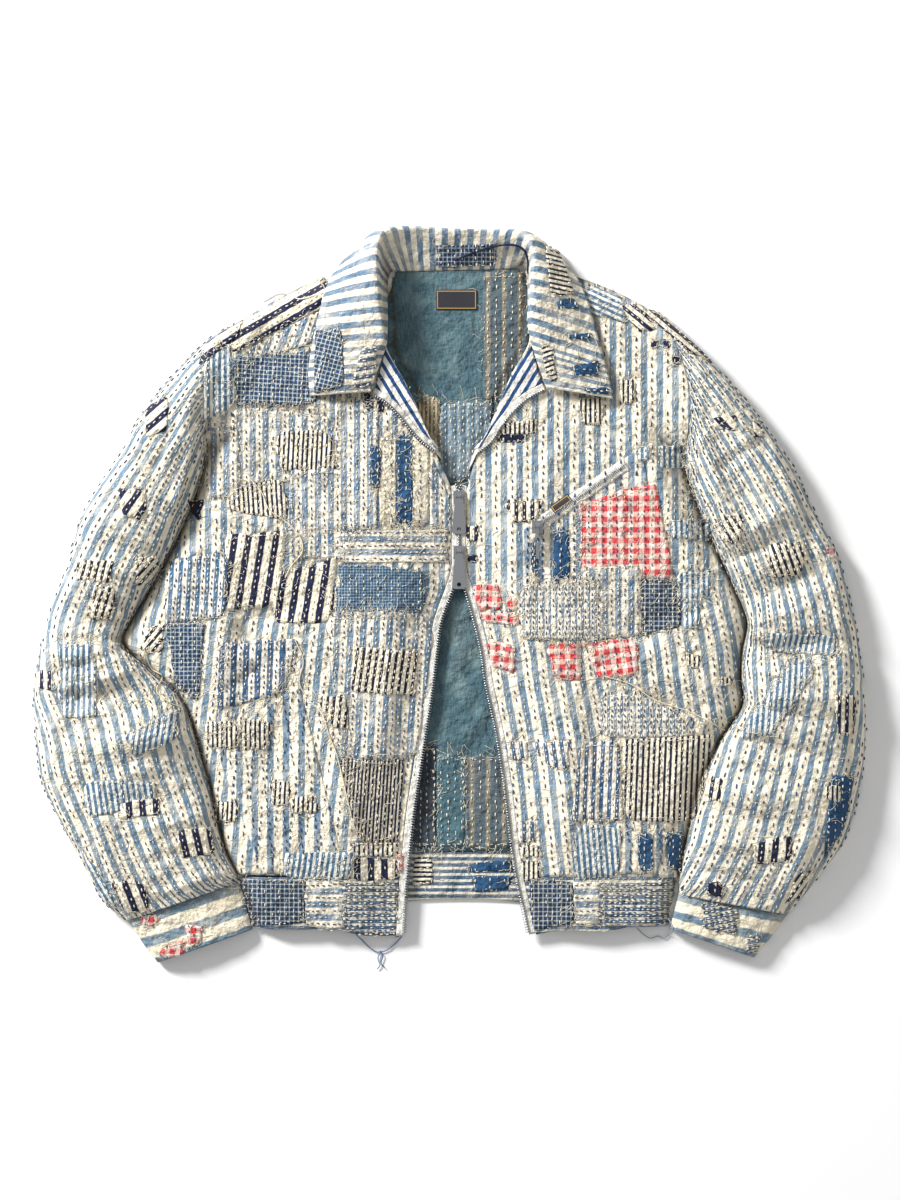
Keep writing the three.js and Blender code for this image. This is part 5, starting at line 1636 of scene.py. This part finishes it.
FRONT_RIGHT_PATCHES = """
578,283 625,298 625,325 582,312 5 FB -65
618,305 640,305 655,330 640,335 5 NS8 -50
578,398 602,398 602,425 580,424 4 KS
618,380 634,380 634,405 620,403 4 KS
500,423 538,421 536,434 500,436 4 KS
497,434 528,436 524,443 496,442 4 NP
507,501 540,500 538,521 510,522 4 NS8
466,526 478,526 478,541 466,541 8 NS8
468,556 477,555 477,562 468,562 6 NP
472,584 500,583 502,610 474,611 6 RC 3
478,613 518,612 520,625 482,622 4 RC 5
507,597 517,598 516,611 506,608 4 RC
487,641 516,645 514,672 488,666 4 RC 8
546,641 581,642 581,680 554,680 4 RC
582,640 636,637 638,676 598,679 5 RC -8
578,505 655,481 673,579 582,578 10 RC
578,568 640,566 640,600 580,600 5 WS
640,580 679,580 679,628 640,634 8 NC
553,531 569,528 569,580 553,580 10 DN
530,541 538,540 537,575 531,574 6 DN
520,583 600,581 600,640 522,640 6 DS
598,590 640,585 640,636 598,640 6 WS
656,447 685,445 684,470 660,468 4 FB
635,448 648,447 650,460 636,462 4 FB
668,520 708,520 712,540 670,540 5 FB
676,575 716,568 706,600 676,600 4 FB
680,597 700,597 698,628 682,628 4 FB
600,690 660,700 700,735 600,738 5 DS
622,738 714,734 696,820 624,820 6 KS55 2
578,742 620,742 622,820 572,820 6 BB8 2
575,825 622,825 618,876 572,878 5 FB -5
637,832 652,832 653,870 638,870 4 DN
665,830 682,832 682,870 668,868 4 DN
503,740 525,740 530,760 505,758 4 BB8 -8
532,742 568,740 568,770 545,765 4 BB8 -8
520,846 541,845 541,856 521,856 6 KS
520,860 541,859 540,880 520,880 6 KS
517,820 535,820 536,840 518,842 4 BB8
683,652 700,655 698,668 686,666 4 KS
720,677 732,678 731,686 720,685 4 KS
"""
HEM_PATCHES = """
240,878 306,878 306,922 252,926 8 NC
306,879 345,879 345,930 306,926 6 WS 90
343,880 400,883 398,936 346,931 8 HS 90
527,880 573,880 574,922 533,930 8 NC
573,880 600,880 600,926 574,924 6 WS 90
600,880 676,880 668,925 600,926 8 HS 90
"""
SLEEVE_LEFT_PATCHES = """
205,345 245,320 238,338 200,368 5 NS 55
145,410 172,395 168,432 150,440 4 NS 50
120,488 150,492 148,520 126,518 4 NS 35
190,500 206,500 200,520 192,515 5 NP 30
80,560 118,562 112,582 80,580 5 KS6 15
95,586 118,585 114,620 94,618 5 KS6 18
137,558 160,556 158,578 138,586 4 KS6 40
145,628 166,625 164,650 146,655 4 KS6 40
62,645 92,642 104,690 64,690 4 FB
60,680 100,680 100,716 66,718 4 FB
128,735 180,706 180,740 135,755 4 FB 8
88,778 160,782 158,800 90,818 4 FB -8
37,672 57,670 55,690 39,688 6 NS8
122,800 162,798 162,812 124,818 5 NS -5
112,880 148,880 150,912 127,911 3 NS -20
178,828 212,826 216,852 182,858 3 NS -12
84,850 100,868 120,910 104,900 4 FB -30
186,925 203,923 202,944 188,945 3 RC
142,916 160,912 158,924 144,926 3 RC
160,948 185,940 186,953 163,958 3 RC
"""
SLEEVE_RIGHT_PATCHES = """
640,312 660,312 712,362 690,355 5 NS8 -50
650,341 657,341 656,349 650,349 8 NP
662,340 668,342 668,350 662,349 8 NP
671,358 679,358 678,366 672,366 8 NP
711,418 735,416 734,432 714,430 4 NS -45
750,424 760,424 760,438 752,438 4 NS -45
720,516 740,514 738,545 720,540 4 KS6 -30
766,545 803,542 800,575 770,578 4 KS6 -20
824,547 834,548 834,558 826,558 4 RC
760,632 838,636 836,655 772,652 4 FB 10
735,735 790,655 815,665 770,735 4 FB 5
832,695 852,692 854,732 834,734 2.6 NS8
828,775 853,775 842,830 822,856 5 DN
703,777 720,778 718,800 705,798 4 NS8 10
750,842 790,832 788,860 752,862 4 NS 5
705,880 722,882 720,896 706,894 4 NP
822,783 838,784 837,800 824,798 4 KS
794,872 812,870 798,898 786,900 4 KS6 35
700,900 738,908 734,935 704,925 5 HS 80
745,936 760,934 758,950 746,953 5 HS 80
"""
LINING_PATCHES = """
482,272 528,272 530,400 484,400 10 GREY
418,398 440,398 440,470 420,470 10 BROWN
440,402 492,402 492,480 440,480 8 SLATE
437,755 465,755 465,848 437,848 10 TEAL
465,755 512,755 512,848 465,848 10 GREY
410,745 436,745 436,848 412,848 10 DUSK
"""
COLLAR_PATCHES = """
437,247 495,246 496,266 436,268 8 BC
316,334 342,327 345,390 314,394 4 BC 15
362,350 378,348 374,388 352,390 5 BB8 80
545,244 560,252 574,294 550,300 5 KS 100
572,367 596,362 600,376 574,378 8 DN 90
584,390 606,388 608,396 586,394 5 DN 90
556,302 575,300 577,310 558,312 4 DN
566,337 590,334 592,340 568,342 4 DN
540,346 552,350 556,383 546,378 4 KS 70
"""
HEM_INSIDE_PATCHES = """
414,857 432,857 432,884 414,885 6 KS 90
470,862 512,860 512,870 470,872 6 DN
472,876 510,875 508,890 474,891 6 DN
"""
TORN_EDGES = {
    "front_left": "195,742 248,712 300,682;305,680 325,712 340,755 353,810 357,845;215,505 252,478;"
    "285,512 303,535 303,550 285,575;222,640 216,712;300,640 292,676;243,408 330,412;340,532 446,532;"
    "340,613 424,616;390,420 390,530",
    "front_right": "610,676 722,728;520,583 600,581;520,640 600,640;578,500 582,576;686,447 700,600",
    "sleeve_left": "100,700 176,700;60,640 104,640;128,735 180,706;137,556 170,590",
    "sleeve_right": "760,655 838,655;735,735 790,655;815,665 770,735;720,516 742,548",
}
PATCH_NODES = {
    "front_left": {
        "BC": ("patch_blue_check",), "WS": ("patch_oval_stripes",), "FC": ("patch_fine_check",),
        "NS": ("patch_navy_stripes", "patch_navy_stripes_small"), "DN": ("patch_denim_bar",),
        "DK": ("patch_dark_stripes",),
    },
    "front_right": {
        "RC": ("patch_red_zip", "patch_red_low", "patch_red_low_side", "patch_red_check"),
        "KS55": ("patch_pocket_stripes",),
    },
    "sleeve_left": {"NS": ("patch_sleeve_navy_oval",), "FB": ("patch_sleeve_fine_stripes",)},
    "sleeve_right": {"FB": ("patch_sleeve_diagonal",), "NS8": ("patch_sleeve_oval",)},
}


@dataclass
class StitchBook:
    """Collects the stitches of one zone and makes them one piece."""

    zone: str
    rng: np.random.Generator
    rows: list = field(default_factory=list)

    def add(
        self, x: Array, y: Array, angle: Array, length: float, shade: tuple, relief: Relief, width: float
    ) -> None:
        """Adds stitches at plan places, each a little out of line.

        Args:
            x: plan x of the middles.
            y: plan y of the middles.
            angle: direction of the thread.
            length: usual stitch length.
            shade: lowest and highest thread shade.
            relief: what they lie on.
            width: thread thickness.
        """
        count = len(x)
        if count == 0:
            return
        r = self.rng
        x, y = x + r.normal(0, 0.45, count), y + r.normal(0, 0.45, count)
        angle = angle + r.normal(0, 0.09, count)
        long = length * r.uniform(0.72, 1.25, count)
        ex, ey = np.cos(angle) * long / 2, np.sin(angle) * long / 2
        ends = np.stack([relief.height(x + ex * k, y + ey * k) for k in (-1, -0.5, 0.5, 1)], axis=-1)
        shades, widths = r.uniform(*shade, count), width * r.uniform(0.8, 1.2, count)
        self.rows.append((x, y, angle, long, ends, shades, widths))

    def add_rows(
        self, dark: tuple, on_dark: Array, pale: tuple, on_pale: Array, angle: Array, relief: Relief
    ) -> None:
        """Adds the rows of a striped cloth: dark stitches on cream stripes, fewer pale ones on blue.

        Args:
            dark: plan x and y of the dark ones.
            on_dark: which of them stand on the cloth itself.
            pale: plan x and y of the pale ones.
            on_pale: the same for them.
            angle: direction of each.
            relief: what they lie on.
        """
        for (x, y), own, share, size in (
            (dark, on_dark, 0.86, (4.8, (0.0, 0.28), relief, 1.35)),
            (pale, on_pale, 0.65, (4.0, PALE, relief, 0.9)),
        ):
            keep = own & (self.rng.uniform(0, 1, x.size) < share)
            self.add(x[keep], y[keep], angle[keep], *size)

    def build(self) -> Piece | None:
        """Makes each stitch a three-sided bead with pointed ends that dip into the cloth.

        Returns:
            The stitches, or nothing where there are none.
        """
        if not self.rows:
            return None
        x, y, angle, long, ends, shade, width = (np.concatenate(part) for part in zip(*self.rows))
        c, s = np.cos(angle), np.sin(angle)
        along = np.array([-0.5, -0.27, -0.27, -0.27, 0.27, 0.27, 0.27, 0.5])[None] * long[:, None]
        across = np.array([0, -0.5, 0, 0.5, -0.5, 0, 0.5, 0])[None] * width[:, None]
        lift = np.array([-0.3, 0.05, 0.85, 0.05, 0.05, 0.85, 0.05, -0.3])[None] * width[:, None]
        level = ends[:, [0, 1, 1, 1, 2, 2, 2, 3]]
        px = x[:, None] + along * c[:, None] - across * s[:, None]
        py = y[:, None] + along * s[:, None] + across * c[:, None]
        points = to_frame(px, py, level + lift + 0.1).reshape(-1, 3)
        one = np.array([
            [0, 1, 2], [0, 2, 3], [0, 3, 1], [7, 5, 4], [7, 6, 5], [7, 4, 6],
            [1, 4, 5], [1, 5, 2], [2, 5, 6], [2, 6, 3], [3, 6, 4], [3, 4, 1],
        ])
        faces = (one[None] + 8 * np.arange(len(x))[:, None, None]).reshape(-1, 3)
        return add_piece(f"stitches_{self.zone}", points, faces[:, ::-1], THREAD, shade=np.repeat(shade, 8))


@dataclass
class Quilt:
    """The patches of one zone with their stitches and frayed threads."""

    zone: str
    lines: str
    first: int
    seed: int

    def __post_init__(self) -> None:
        """Reads the patches and opens the stitch book."""
        self.rng = np.random.default_rng(self.seed)
        self.book = StitchBook(self.zone, self.rng)
        self.patches = [Patch.read(line) for line in self.lines.strip().splitlines()]
        self.frays: list = []

    def build_patches(self, relief: Relief) -> list[Piece]:
        """Lays the patches in order and joins those of one cloth.

        Args:
            relief: what they lie on and raise.

        Returns:
            One piece for each cloth.
        """
        joined: dict[str, list] = {}
        for k, patch in enumerate(self.patches):
            joined.setdefault(patch.finish, []).append(patch.mesh(relief, self.first + k, self.rng))
        made = []
        for finish, parts in joined.items():
            shift = np.cumsum([0, *(len(p[0]) for p in parts[:-1])])
            points = np.concatenate([p[0] for p in parts])
            faces = np.concatenate([p[1] + s for p, s in zip(parts, shift)])
            nodes = PATCH_NODES.get(self.zone, {}).get(finish, ())
            slot = NODE_SLOTS[nodes[0]] if nodes else FINISHES[finish].slot
            uv = np.concatenate([p[2] for p in parts])
            name = f"patches_{self.zone}_{finish}"
            made.append(add_piece(name, points, faces, FINISHES[finish], uv, slot, nodes))
        return made

    def sew_patches(self, relief: Relief) -> None:
        """Running stitches along each patch's grain and whip stitches round its outline.

        Args:
            relief: what the patches lie on.
        """
        for k, patch in enumerate(self.patches):
            number = self.first + k
            finish = FINISHES[patch.finish]
            g = math.radians(patch.grain)
            middle = patch.corners.mean(axis=0)
            reach = 1.5 * patch.size() + 10
            dark = patch.finish in ("WS", "CR", "HS", "BB", "BB9", "DS", "RC")
            wide = finish.weave is Weave.STRIPE and finish.pitch > 6
            gap = finish.pitch / 2 if wide else 7.0
            phase = middle[0] * math.cos(g) + middle[1] * math.sin(g)
            lines = np.round((phase - reach) / gap) + np.arange(int(2 * reach / gap) + 1)
            u = lines * gap - phase
            v = np.arange(-reach, reach, 5.6 if dark else 6.6)
            u, v = np.meshgrid(u, v, indexing="ij")
            v = v + 2.8 * (np.arange(u.shape[0]) % 2)[:, None]
            x = middle[0] + u * math.cos(g) - v * math.sin(g)
            y = middle[1] + u * math.sin(g) + v * math.cos(g)
            own = (relief.owner_at(x, y) == number) & (self.rng.uniform(0, 1, x.shape) < 0.84)
            even = np.broadcast_to((lines % 2 == 0)[:, None], x.shape)
            on_ground = own & even
            on_band = own & ~even
            for chosen, shade, length in (
                (on_ground, (0.0, 0.3) if dark else PALE, 3.9),
                (on_band, PALE if wide else (0.4, 0.9), 3.4),
            ):
                angle = np.full(int(chosen.sum()), g + math.pi / 2)
                self.book.add(x[chosen], y[chosen], angle, length, shade, relief, 1.2)
            count = int(np.clip(8 * patch.size() / 5.0, 12, 110))
            turn = np.linspace(0, 2 * np.pi, count, endpoint=False)
            ox, oy = patch.ring(turn, np.array(0.92))
            nx, ny = patch.ring(turn + 0.02, np.array(0.92))
            edge = (relief.owner_at(ox, oy) == number) & (self.rng.uniform(0, 1, count) < 0.5)
            tangent = np.arctan2(ny - oy, nx - ox)
            self.book.add(ox[edge], oy[edge], tangent[edge], 3.4, (0.62, 1.0), relief, 0.8)
            starts = np.repeat(turn, 2) + self.rng.uniform(0, 0.1, 2 * count)
            rim_x, rim_y = patch.ring(starts, np.array(0.97))
            away = np.arctan2(rim_y - middle[1], rim_x - middle[0])
            frayed = self.rng.uniform(0, 1, 2 * count) < 0.46
            self.frays.append((rim_x[frayed], rim_y[frayed], away[frayed]))

    def scatter(self, relief: Relief, count: int, box: tuple, owners: tuple) -> None:
        """Starts loose threads anywhere on the zone's own cloth.

        Args:
            relief: what they lie on.
            count: how many are tried.
            box: lowest and highest plan x and y.
            owners: owner numbers of the zone's own cloth.
        """
        x, y = self.rng.uniform(box[0], box[1], count), self.rng.uniform(box[2], box[3], count)
        own = np.isin(relief.owner_at(x, y), owners)
        self.frays.append((x[own], y[own], self.rng.uniform(0, 2 * np.pi, int(own.sum()))))

    def tear(self, lines: str) -> None:
        """Starts loose threads close together along torn edges.

        Args:
            lines: edges as plan places, with semicolons between them.
        """
        spread, spacing = 1.6, 1.1
        for line in lines.split(";"):
            bends = numbers(line.replace(" ", ";"))
            run = lengths(bends[:, 0], bends[:, 1])
            at = np.arange(0, run[-1], spacing)
            x, y = np.interp(at, run, bends[:, 0]), np.interp(at, run, bends[:, 1])
            x, y = x + self.rng.normal(0, spread, len(at)), y + self.rng.normal(0, spread, len(at))
            self.frays.append((x, y, self.rng.uniform(0, 2 * np.pi, len(at))))

    def build_threads(self, relief: Relief) -> Piece | None:
        """Makes loose threads that wander from the patches' edges over the cloth.

        Args:
            relief: what they lie on.

        Returns:
            The threads, or nothing where there are none.
        """
        if not self.frays:
            return None
        x, y, away = (np.concatenate(part) for part in zip(*self.frays))
        r = self.rng
        keep = relief.owner_at(x, y) > 0
        x, y, away = x[keep], y[keep], away[keep]
        count, steps = len(x), 5
        heading = away + r.normal(0, 0.9, count)
        turn = np.cumsum(r.normal(0, 0.5, (count, steps)), axis=1) + heading[:, None]
        step = (1.1 + 2.5 * r.uniform(0, 1, count) ** 2)[:, None]
        px = x[:, None] + np.cumsum(np.cos(turn) * step, axis=1)
        py = y[:, None] + np.cumsum(np.sin(turn) * step, axis=1)
        laid = relief.owner_at(px, py) > 0
        inside = laid.all(axis=1)
        px, py, turn = px[inside], py[inside], turn[inside]
        count = len(px)
        pz = relief.height(px, py) + 0.28
        thick = 0.3 * np.linspace(1, 0.6, steps)[None, :]
        angle = np.array([0, 2, 4]) * np.pi / 3 + np.pi / 2
        side = np.cos(angle)[None, None, :] * thick[..., None]
        lift = np.sin(angle)[None, None, :] * thick[..., None]
        gx = px[..., None] - np.sin(turn)[..., None] * side
        gy = py[..., None] + np.cos(turn)[..., None] * side
        points = to_frame(gx, gy, pz[..., None] + lift).reshape(-1, 3)
        tube = grid_faces(steps, 3, True)
        caps = np.array([[0, 1, 2, 2], [3 * steps - 1, 3 * steps - 2, 3 * steps - 3, 3 * steps - 3]])
        one = np.concatenate([tube, caps])
        faces = (one[None] + 3 * steps * np.arange(count)[:, None, None]).reshape(-1, 4)
        shade = np.repeat(r.choice([0.74, 0.88, 1.0, 0.4], count, p=[0.15, 0.3, 0.45, 0.1]), 3 * steps)
        return add_piece(f"threads_{self.zone}", points, faces, THREAD, shade=shade)


# Long hanging threads

# Shade and way: three blue ones and a grey one off the hem, then elbow, chest, pockets, shoulder.
HANGING = (
    (0.35, "346,922 355,932 365,943 373,950 380,952 390,948 402,935 398,925"),
    (0.3, "380,951 383,956 381,963 385,968"),
    (0.4, "381,951 378,958 380,965 377,969"),
    (0.55, "628,917 635,925 642,933 650,938 658,936 665,938 672,928 668,918"),
    (0.74, "146,650 152,668 163,676 158,690 168,700 180,706"),
    (0.8, "250,478 262,492 270,510 284,520 300,536 303,552 292,566 286,578"),
    (0.8, "296,640 304,660 300,682 310,700 322,712 330,735 338,756 346,790 352,815"),
    (0.8, "604,676 630,684 655,700 690,712 724,730"),
    (0.95, "262,300 280,292 300,300 318,296 330,304 344,300"),
)


def hang_threads(relief: Relief) -> Piece:
    """Makes the long threads that hang in loops over the cloth and off the hem.

    Args:
        relief: what they lie on.

    Returns:
        One piece with all of them.
    """
    points, faces, shades = [], [], []
    start = 0
    for shade, line in HANGING:
        path = Rows("x y", line.replace(" ", ";"))
        t = np.linspace(0, path.last, 12 * (path.last + 1))
        x, y = path.at("x", t), path.at("y", t)
        z = np.maximum(relief.height(x, y), 0.3) + 0.7
        z = np.convolve(np.pad(z, 2, "edge"), np.full(5, 0.2), "valid") + 0.3
        turn = np.arctan2(np.gradient(y), np.gradient(x))[:, None]
        around = (np.arange(6) * np.pi / 3)[None, :]
        side, lift = 0.5 * np.cos(around), 0.5 * np.sin(around)
        px, py = x[:, None] - np.sin(turn) * side, y[:, None] + np.cos(turn) * side
        ring = to_frame(px, py, z[:, None] + lift)
        count = len(t)
        points.append(ring.reshape(-1, 3))
        faces += (grid_faces(count, 6, True) + start).tolist()
        faces += [[start + k for k in range(6)], [start + 6 * count - 1 - k for k in range(6)]]
        shades.append(np.full(6 * count, shade))
        start += 6 * count
    points, shade = np.concatenate(points), np.concatenate(shades)
    return add_piece("threads_hanging", points, faces, THREAD, shade=shade)


# Pockets and labels


QUADS = {
    "pocket_slash_left": "214 742; 300 684; 346 873; 264 873",
    "pocket_slash_right": "612 678; 706 724; 656 873; 578 873",
    "pocket_chest": "522 531; 641 447; 670 632; 530 638",
    "pocket_chest_zip": "530 523; 622 459; 629 470; 537 534",
    "label_chest_blank": "549 507; 567 494; 572 501; 554 514",
}


@dataclass
class Pocket:
    """A four-cornered piece sewn on a front."""

    name: str
    finish: ClothFinish | LabelFinish
    grain: float
    rows: int
    cols: int
    flat: tuple
    lift: float = 1.1

    def build(self, relief: Relief, on: str) -> Piece:
        """Makes the piece on the raster and raises it.

        Args:
            relief: what it lies on.
            on: name of the piece under it; not used.

        Returns:
            The piece.
        """
        s, t = np.linspace(0, 1, self.cols)[None, :], np.linspace(0, 1, self.rows)[:, None]
        x, y = between(numbers(QUADS[self.name]), s, t)
        edge = np.minimum(np.minimum(s, 1 - s) * self.cols, np.minimum(t, 1 - t) * self.rows)
        z = relief.height(x, y) + self.lift - 0.5 * (1 - np.clip(edge / 1.5, 0, 1))
        relief.stamp(x, y, z, OWN_POCKET)
        if isinstance(self.finish, LabelFinish):
            u, v = s * self.finish.width + 0 * t, t * self.finish.depth + 0 * s
        else:
            u, v = turned(x, y, self.grain)
        piece = cloth_piece(f"{self.name}_cloth", x, y, z, u, v, self.finish, self.name, THIN)
        return piece


# Studio


class Studio:
    """Pale floor, soft light and the camera straight above."""

    def build(self) -> None:
        """Makes the floor, the lights and the camera."""
        size, low = 6.0, -0.0004
        mesh = bpy.data.meshes.new("floor")
        corners = [(a * size, b * size, low) for a, b in ((-1, -1), (1, -1), (1, 1), (-1, 1))]
        mesh.from_pydata(corners, [], [(0, 1, 2, 3)])
        floor = bpy.data.objects.new("floor", mesh)
        bpy.context.collection.objects.link(floor)
        desk = NodeDesk("FLOOR")
        desk.shader.inputs["Base Color"].default_value = (0.96, 0.96, 0.96, 1)
        desk.shader.inputs["Roughness"].default_value = 1.0
        desk.shader.inputs["Specular IOR Level"].default_value = 0.0
        mesh.materials.append(desk.material)
        world = bpy.data.worlds.new("studio")
        world.use_nodes = True
        world.node_tree.nodes["Background"].inputs[0].default_value = (1, 1, 1, 1)
        world.node_tree.nodes["Background"].inputs[1].default_value = 0.42
        bpy.context.scene.world = world
        lights = (("key", (-3.3, 2.9, 2.3), 1.1, 420), ("fill", (1.6, -1.0, 2.6), 2.2, 6))
        for name, place, extent, power in lights:
            data = bpy.data.lights.new(name, "AREA")
            data.size, data.energy = extent, power
            lamp = bpy.data.objects.new(name, data)
            lamp.location = place
            bpy.context.collection.objects.link(lamp)
            direction = -np.array(place)
            lamp.rotation_mode = "QUATERNION"
            lamp.rotation_quaternion = look_along(direction)
        camera = bpy.data.cameras.new("camera")
        camera.lens, camera.sensor_width = 135, 36
        camera.clip_end = 50
        eye = bpy.data.objects.new("camera", camera)
        eye.location = ((450 - TABLE_CENTRE[0]) * MM, (TABLE_CENTRE[1] - 600) * MM, 4.5)
        bpy.context.collection.objects.link(eye)
        bpy.context.scene.camera = eye
        bpy.context.scene.view_settings.view_transform = "Standard"


def look_along(direction: Array) -> Quaternion:
    """Turn that points a lamp along a direction."""
    return Vector(direction).to_track_quat("-Z", "Y")


NODE_SLOTS: dict[str, str] = {}
METAL_NODES = (
    "zip_slider_upper", "zip_pull_upper", "zip_slider_lower", "zip_pull_lower",
    "pocket_slider", "pocket_pull",
)


def read_slots() -> None:
    """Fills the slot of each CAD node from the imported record."""
    for part in frame["record"]["subparts"]:
        NODE_SLOTS[part["node"]] = part["material_slot"]


def sew_front(front: Front, book: StitchBook, relief: Relief) -> None:
    """Running stitches down each cream stripe of a front where its own cloth shows.

    Args:
        front: the front.
        book: where they go.
        relief: what they lie on.
    """
    y = np.arange(285, 874, 7.4)
    u = np.arange(10, 58) * STRIPE
    u, y = np.meshgrid(u, y, indexing="ij")
    y = y + 3.7 * (np.arange(u.shape[0]) % 2)[:, None]
    x = u - front.lean(y)
    slope = front.lean(y + 1) - front.lean(y - 1)
    angle = np.arctan2(2.0, -slope)
    x, y, angle = x.ravel(), y.ravel(), angle.ravel()
    own = np.isin(relief.owner_at(x, y), (front.owner, OWN_POCKET))
    to_blue = 7.2
    book.add_rows((x, y), own, (x + to_blue, y), own, angle, relief)


def sew_sleeve(sleeve: Sleeve, book: StitchBook, relief: Relief) -> None:
    """Running stitches along a sleeve's cream stripes where its own cloth shows.

    Args:
        sleeve: the sleeve.
        book: where they go.
        relief: what they lie on.
    """
    stagger = 0.08
    places = []
    for column in range(-8, 9):
        t = np.arange(0.15, sleeve.stations.last - 0.05, 2 * stagger) + stagger * (column % 2)
        x, y, _, across = sleeve.mapped(t, np.linspace(0, 1, 160))
        u = column * STRIPE
        px, py, qx, qy = (
            np.array([np.interp(u + off, way, row) for way, row in zip(across, values)])
            for off in (0, STRIPE / 2) for values in (x, y)
        )
        held = (across[:, 0] < u - 2) & (across[:, -1] > u + STRIPE / 2 + 2)
        angle = np.arctan2(np.gradient(py), np.gradient(px))
        places.append(np.stack([px, py, qx, qy, angle])[:, held])
    px, py, qx, qy, angle = np.concatenate(places, axis=1)
    on_dark, on_pale = (relief.owner_at(*place) == sleeve.owner for place in ((px, py), (qx, qy)))
    book.add_rows((px, py), on_dark, (qx, qy), on_pale, angle, relief)


def build_neck_label(inside: Relief) -> Piece:
    """Makes the blank label in the neck, on the lining.

    Args:
        inside: raster of the lining.

    Returns:
        The label.
    """
    wide, deep, left, upper = 41, 20, 436, 290
    x, y = np.meshgrid(np.linspace(left, left + wide, 30), np.linspace(upper, upper + deep, 16))
    woven, node = LabelFinish("LABEL_NECK", "label_cloth", wide, deep), "label_neck_blank"
    z = inside.height(x, y) + 1.0
    label = cloth_piece(f"{node}_cloth", x, y, z, x - left, y - upper, woven, node, THIN)
    return label


def dress_metal() -> None:
    """Gives the sliders and pull tabs, which are CAD nodes, the zip's metal."""
    for node in METAL_NODES:
        mesh = frame["nodes"][node].data
        mesh.materials.clear()
        mesh.materials.append(material_of(METAL))


def report(made: list[Piece]) -> None:
    """Logs the triangles of each piece and of all.

    Args:
        made: the pieces.
    """
    counts = [sum(len(face.vertices) - 2 for face in piece.data.polygons) for piece in made]
    for piece, count in zip(made, counts):
        LOG.info("%s: %d triangles", piece.name, count)
    LOG.info("in all %d triangles", sum(counts))


def main() -> None:
    """Builds the jacket class by class and reports each piece."""
    logging.basicConfig(level=logging.INFO, format="%(message)s")
    read_slots()
    LOG.info("slots of %d nodes", len(NODE_SLOTS))
    made: list = []
    top, inside, neck = Relief(), Relief(), Relief()
    sleeves = {
        "left": Sleeve("left", SLEEVE_LEFT, CUFF_LEFT, 3),
        "right": Sleeve("right", SLEEVE_RIGHT, CUFF_RIGHT, 4),
    }
    fronts = {
        "left": Front("left", 1, FRONT_LEFT, sleeves["left"], TAPES["left"], HEM_LEFT, 1),
        "right": Front("right", -1, FRONT_RIGHT, sleeves["right"], TAPES["right"], HEM_RIGHT, 2),
    }
    for sleeve in sleeves.values():
        made += sleeve.build(top)
    for front in fronts.values():
        made += front.build(top)
    top.close_holes()
    back = Back(fronts["left"], fronts["right"])
    made += [back.build_back(), back.build_lining(inside), back.build_hem(inside)]
    inside.close_holes()
    # Pocket, cloth, turn of the cloth, rows and columns, flat size and what it lies on.
    for name, finish, grain, rows, cols, flat, on in (
        ("pocket_slash_left", "BS", 0, 60, 40, (0.105, 0.19), "front_left_cloth"),
        ("pocket_slash_right", "BS", 0, 60, 40, (0.105, 0.19), "front_right_cloth"),
        ("pocket_chest", "WS", 0, 60, 44, (0.145, 0.155), "front_right_cloth"),
        ("pocket_chest_zip", "TAPE", 54, 8, 44, (0.113, 0.014), "pocket_chest_cloth"),
    ):
        made.append(Pocket(name, FINISHES[finish], grain, rows, cols, flat).build(top, on))
    zones = {
        "front_left": FRONT_LEFT_PATCHES, "front_right": FRONT_RIGHT_PATCHES, "hems": HEM_PATCHES,
        "sleeve_left": SLEEVE_LEFT_PATCHES, "sleeve_right": SLEEVE_RIGHT_PATCHES,
    }
    quilts = {zone: Quilt(zone, lines, 100 * k, 50 + k) for k, (zone, lines) in enumerate(zones.items(), 1)}
    inner = Quilt("lining", LINING_PATCHES + HEM_INSIDE_PATCHES.lstrip(), 600, 56)
    leaf = Quilt("collar", COLLAR_PATCHES, 700, 57)
    for quilt in quilts.values():
        made += quilt.build_patches(top)
    made += inner.build_patches(inside)
    collar = Collar()
    neck.z = top.z.copy()
    made += collar.build(neck)
    neck.close_holes()
    made += collar.build_facings(top, neck)
    made += leaf.build_patches(neck)
    for side in ("left", "right"):
        sew_front(fronts[side], quilts[f"front_{side}"].book, top)
        sew_sleeve(sleeves[side], quilts[f"sleeve_{side}"].book, top)
    quilts["front_left"].scatter(top, 900, (205, 455, 290, 876), (1, OWN_POCKET, *range(100, 140)))
    quilts["front_right"].scatter(top, 700, (465, 715, 290, 876), (2, OWN_POCKET, *range(200, 240)))
    quilts["sleeve_left"].scatter(top, 800, (35, 250, 330, 915), (3,))
    quilts["sleeve_right"].scatter(top, 800, (640, 865, 320, 910), (4,))
    for zone, lines in TORN_EDGES.items():
        quilts[zone].tear(lines)
    for quilt, relief in [*((q, top) for q in quilts.values()), (inner, inside), (leaf, neck)]:
        quilt.sew_patches(relief)
        made += [quilt.book.build(), quilt.build_threads(relief)]
    made.append(hang_threads(top))
    main_zip = MainZip()
    made += [*main_zip.build_tapes(), *main_zip.build_teeth(top), main_zip.build_pocket_teeth(top)]
    chest_label = LabelFinish("LABEL_CHEST", "label_cloth", 22, 9)
    chest_piece = Pocket("label_chest_blank", chest_label, 0, 8, 16, (0.022, 0.01), 1.0)
    made.append(chest_piece.build(top, "pocket_chest_cloth"))
    made += [build_neck_label(inside), collar.build_loop()]
    made = [piece for piece in made if piece]
    dress_metal()
    # Painted shade: marks each cloth's hollows and creases, which its colour darkens.
    paint_hollow_shade(made, (top, inside, neck))
    Studio().build()
    report(made)


if __name__ == "__main__":
    main()
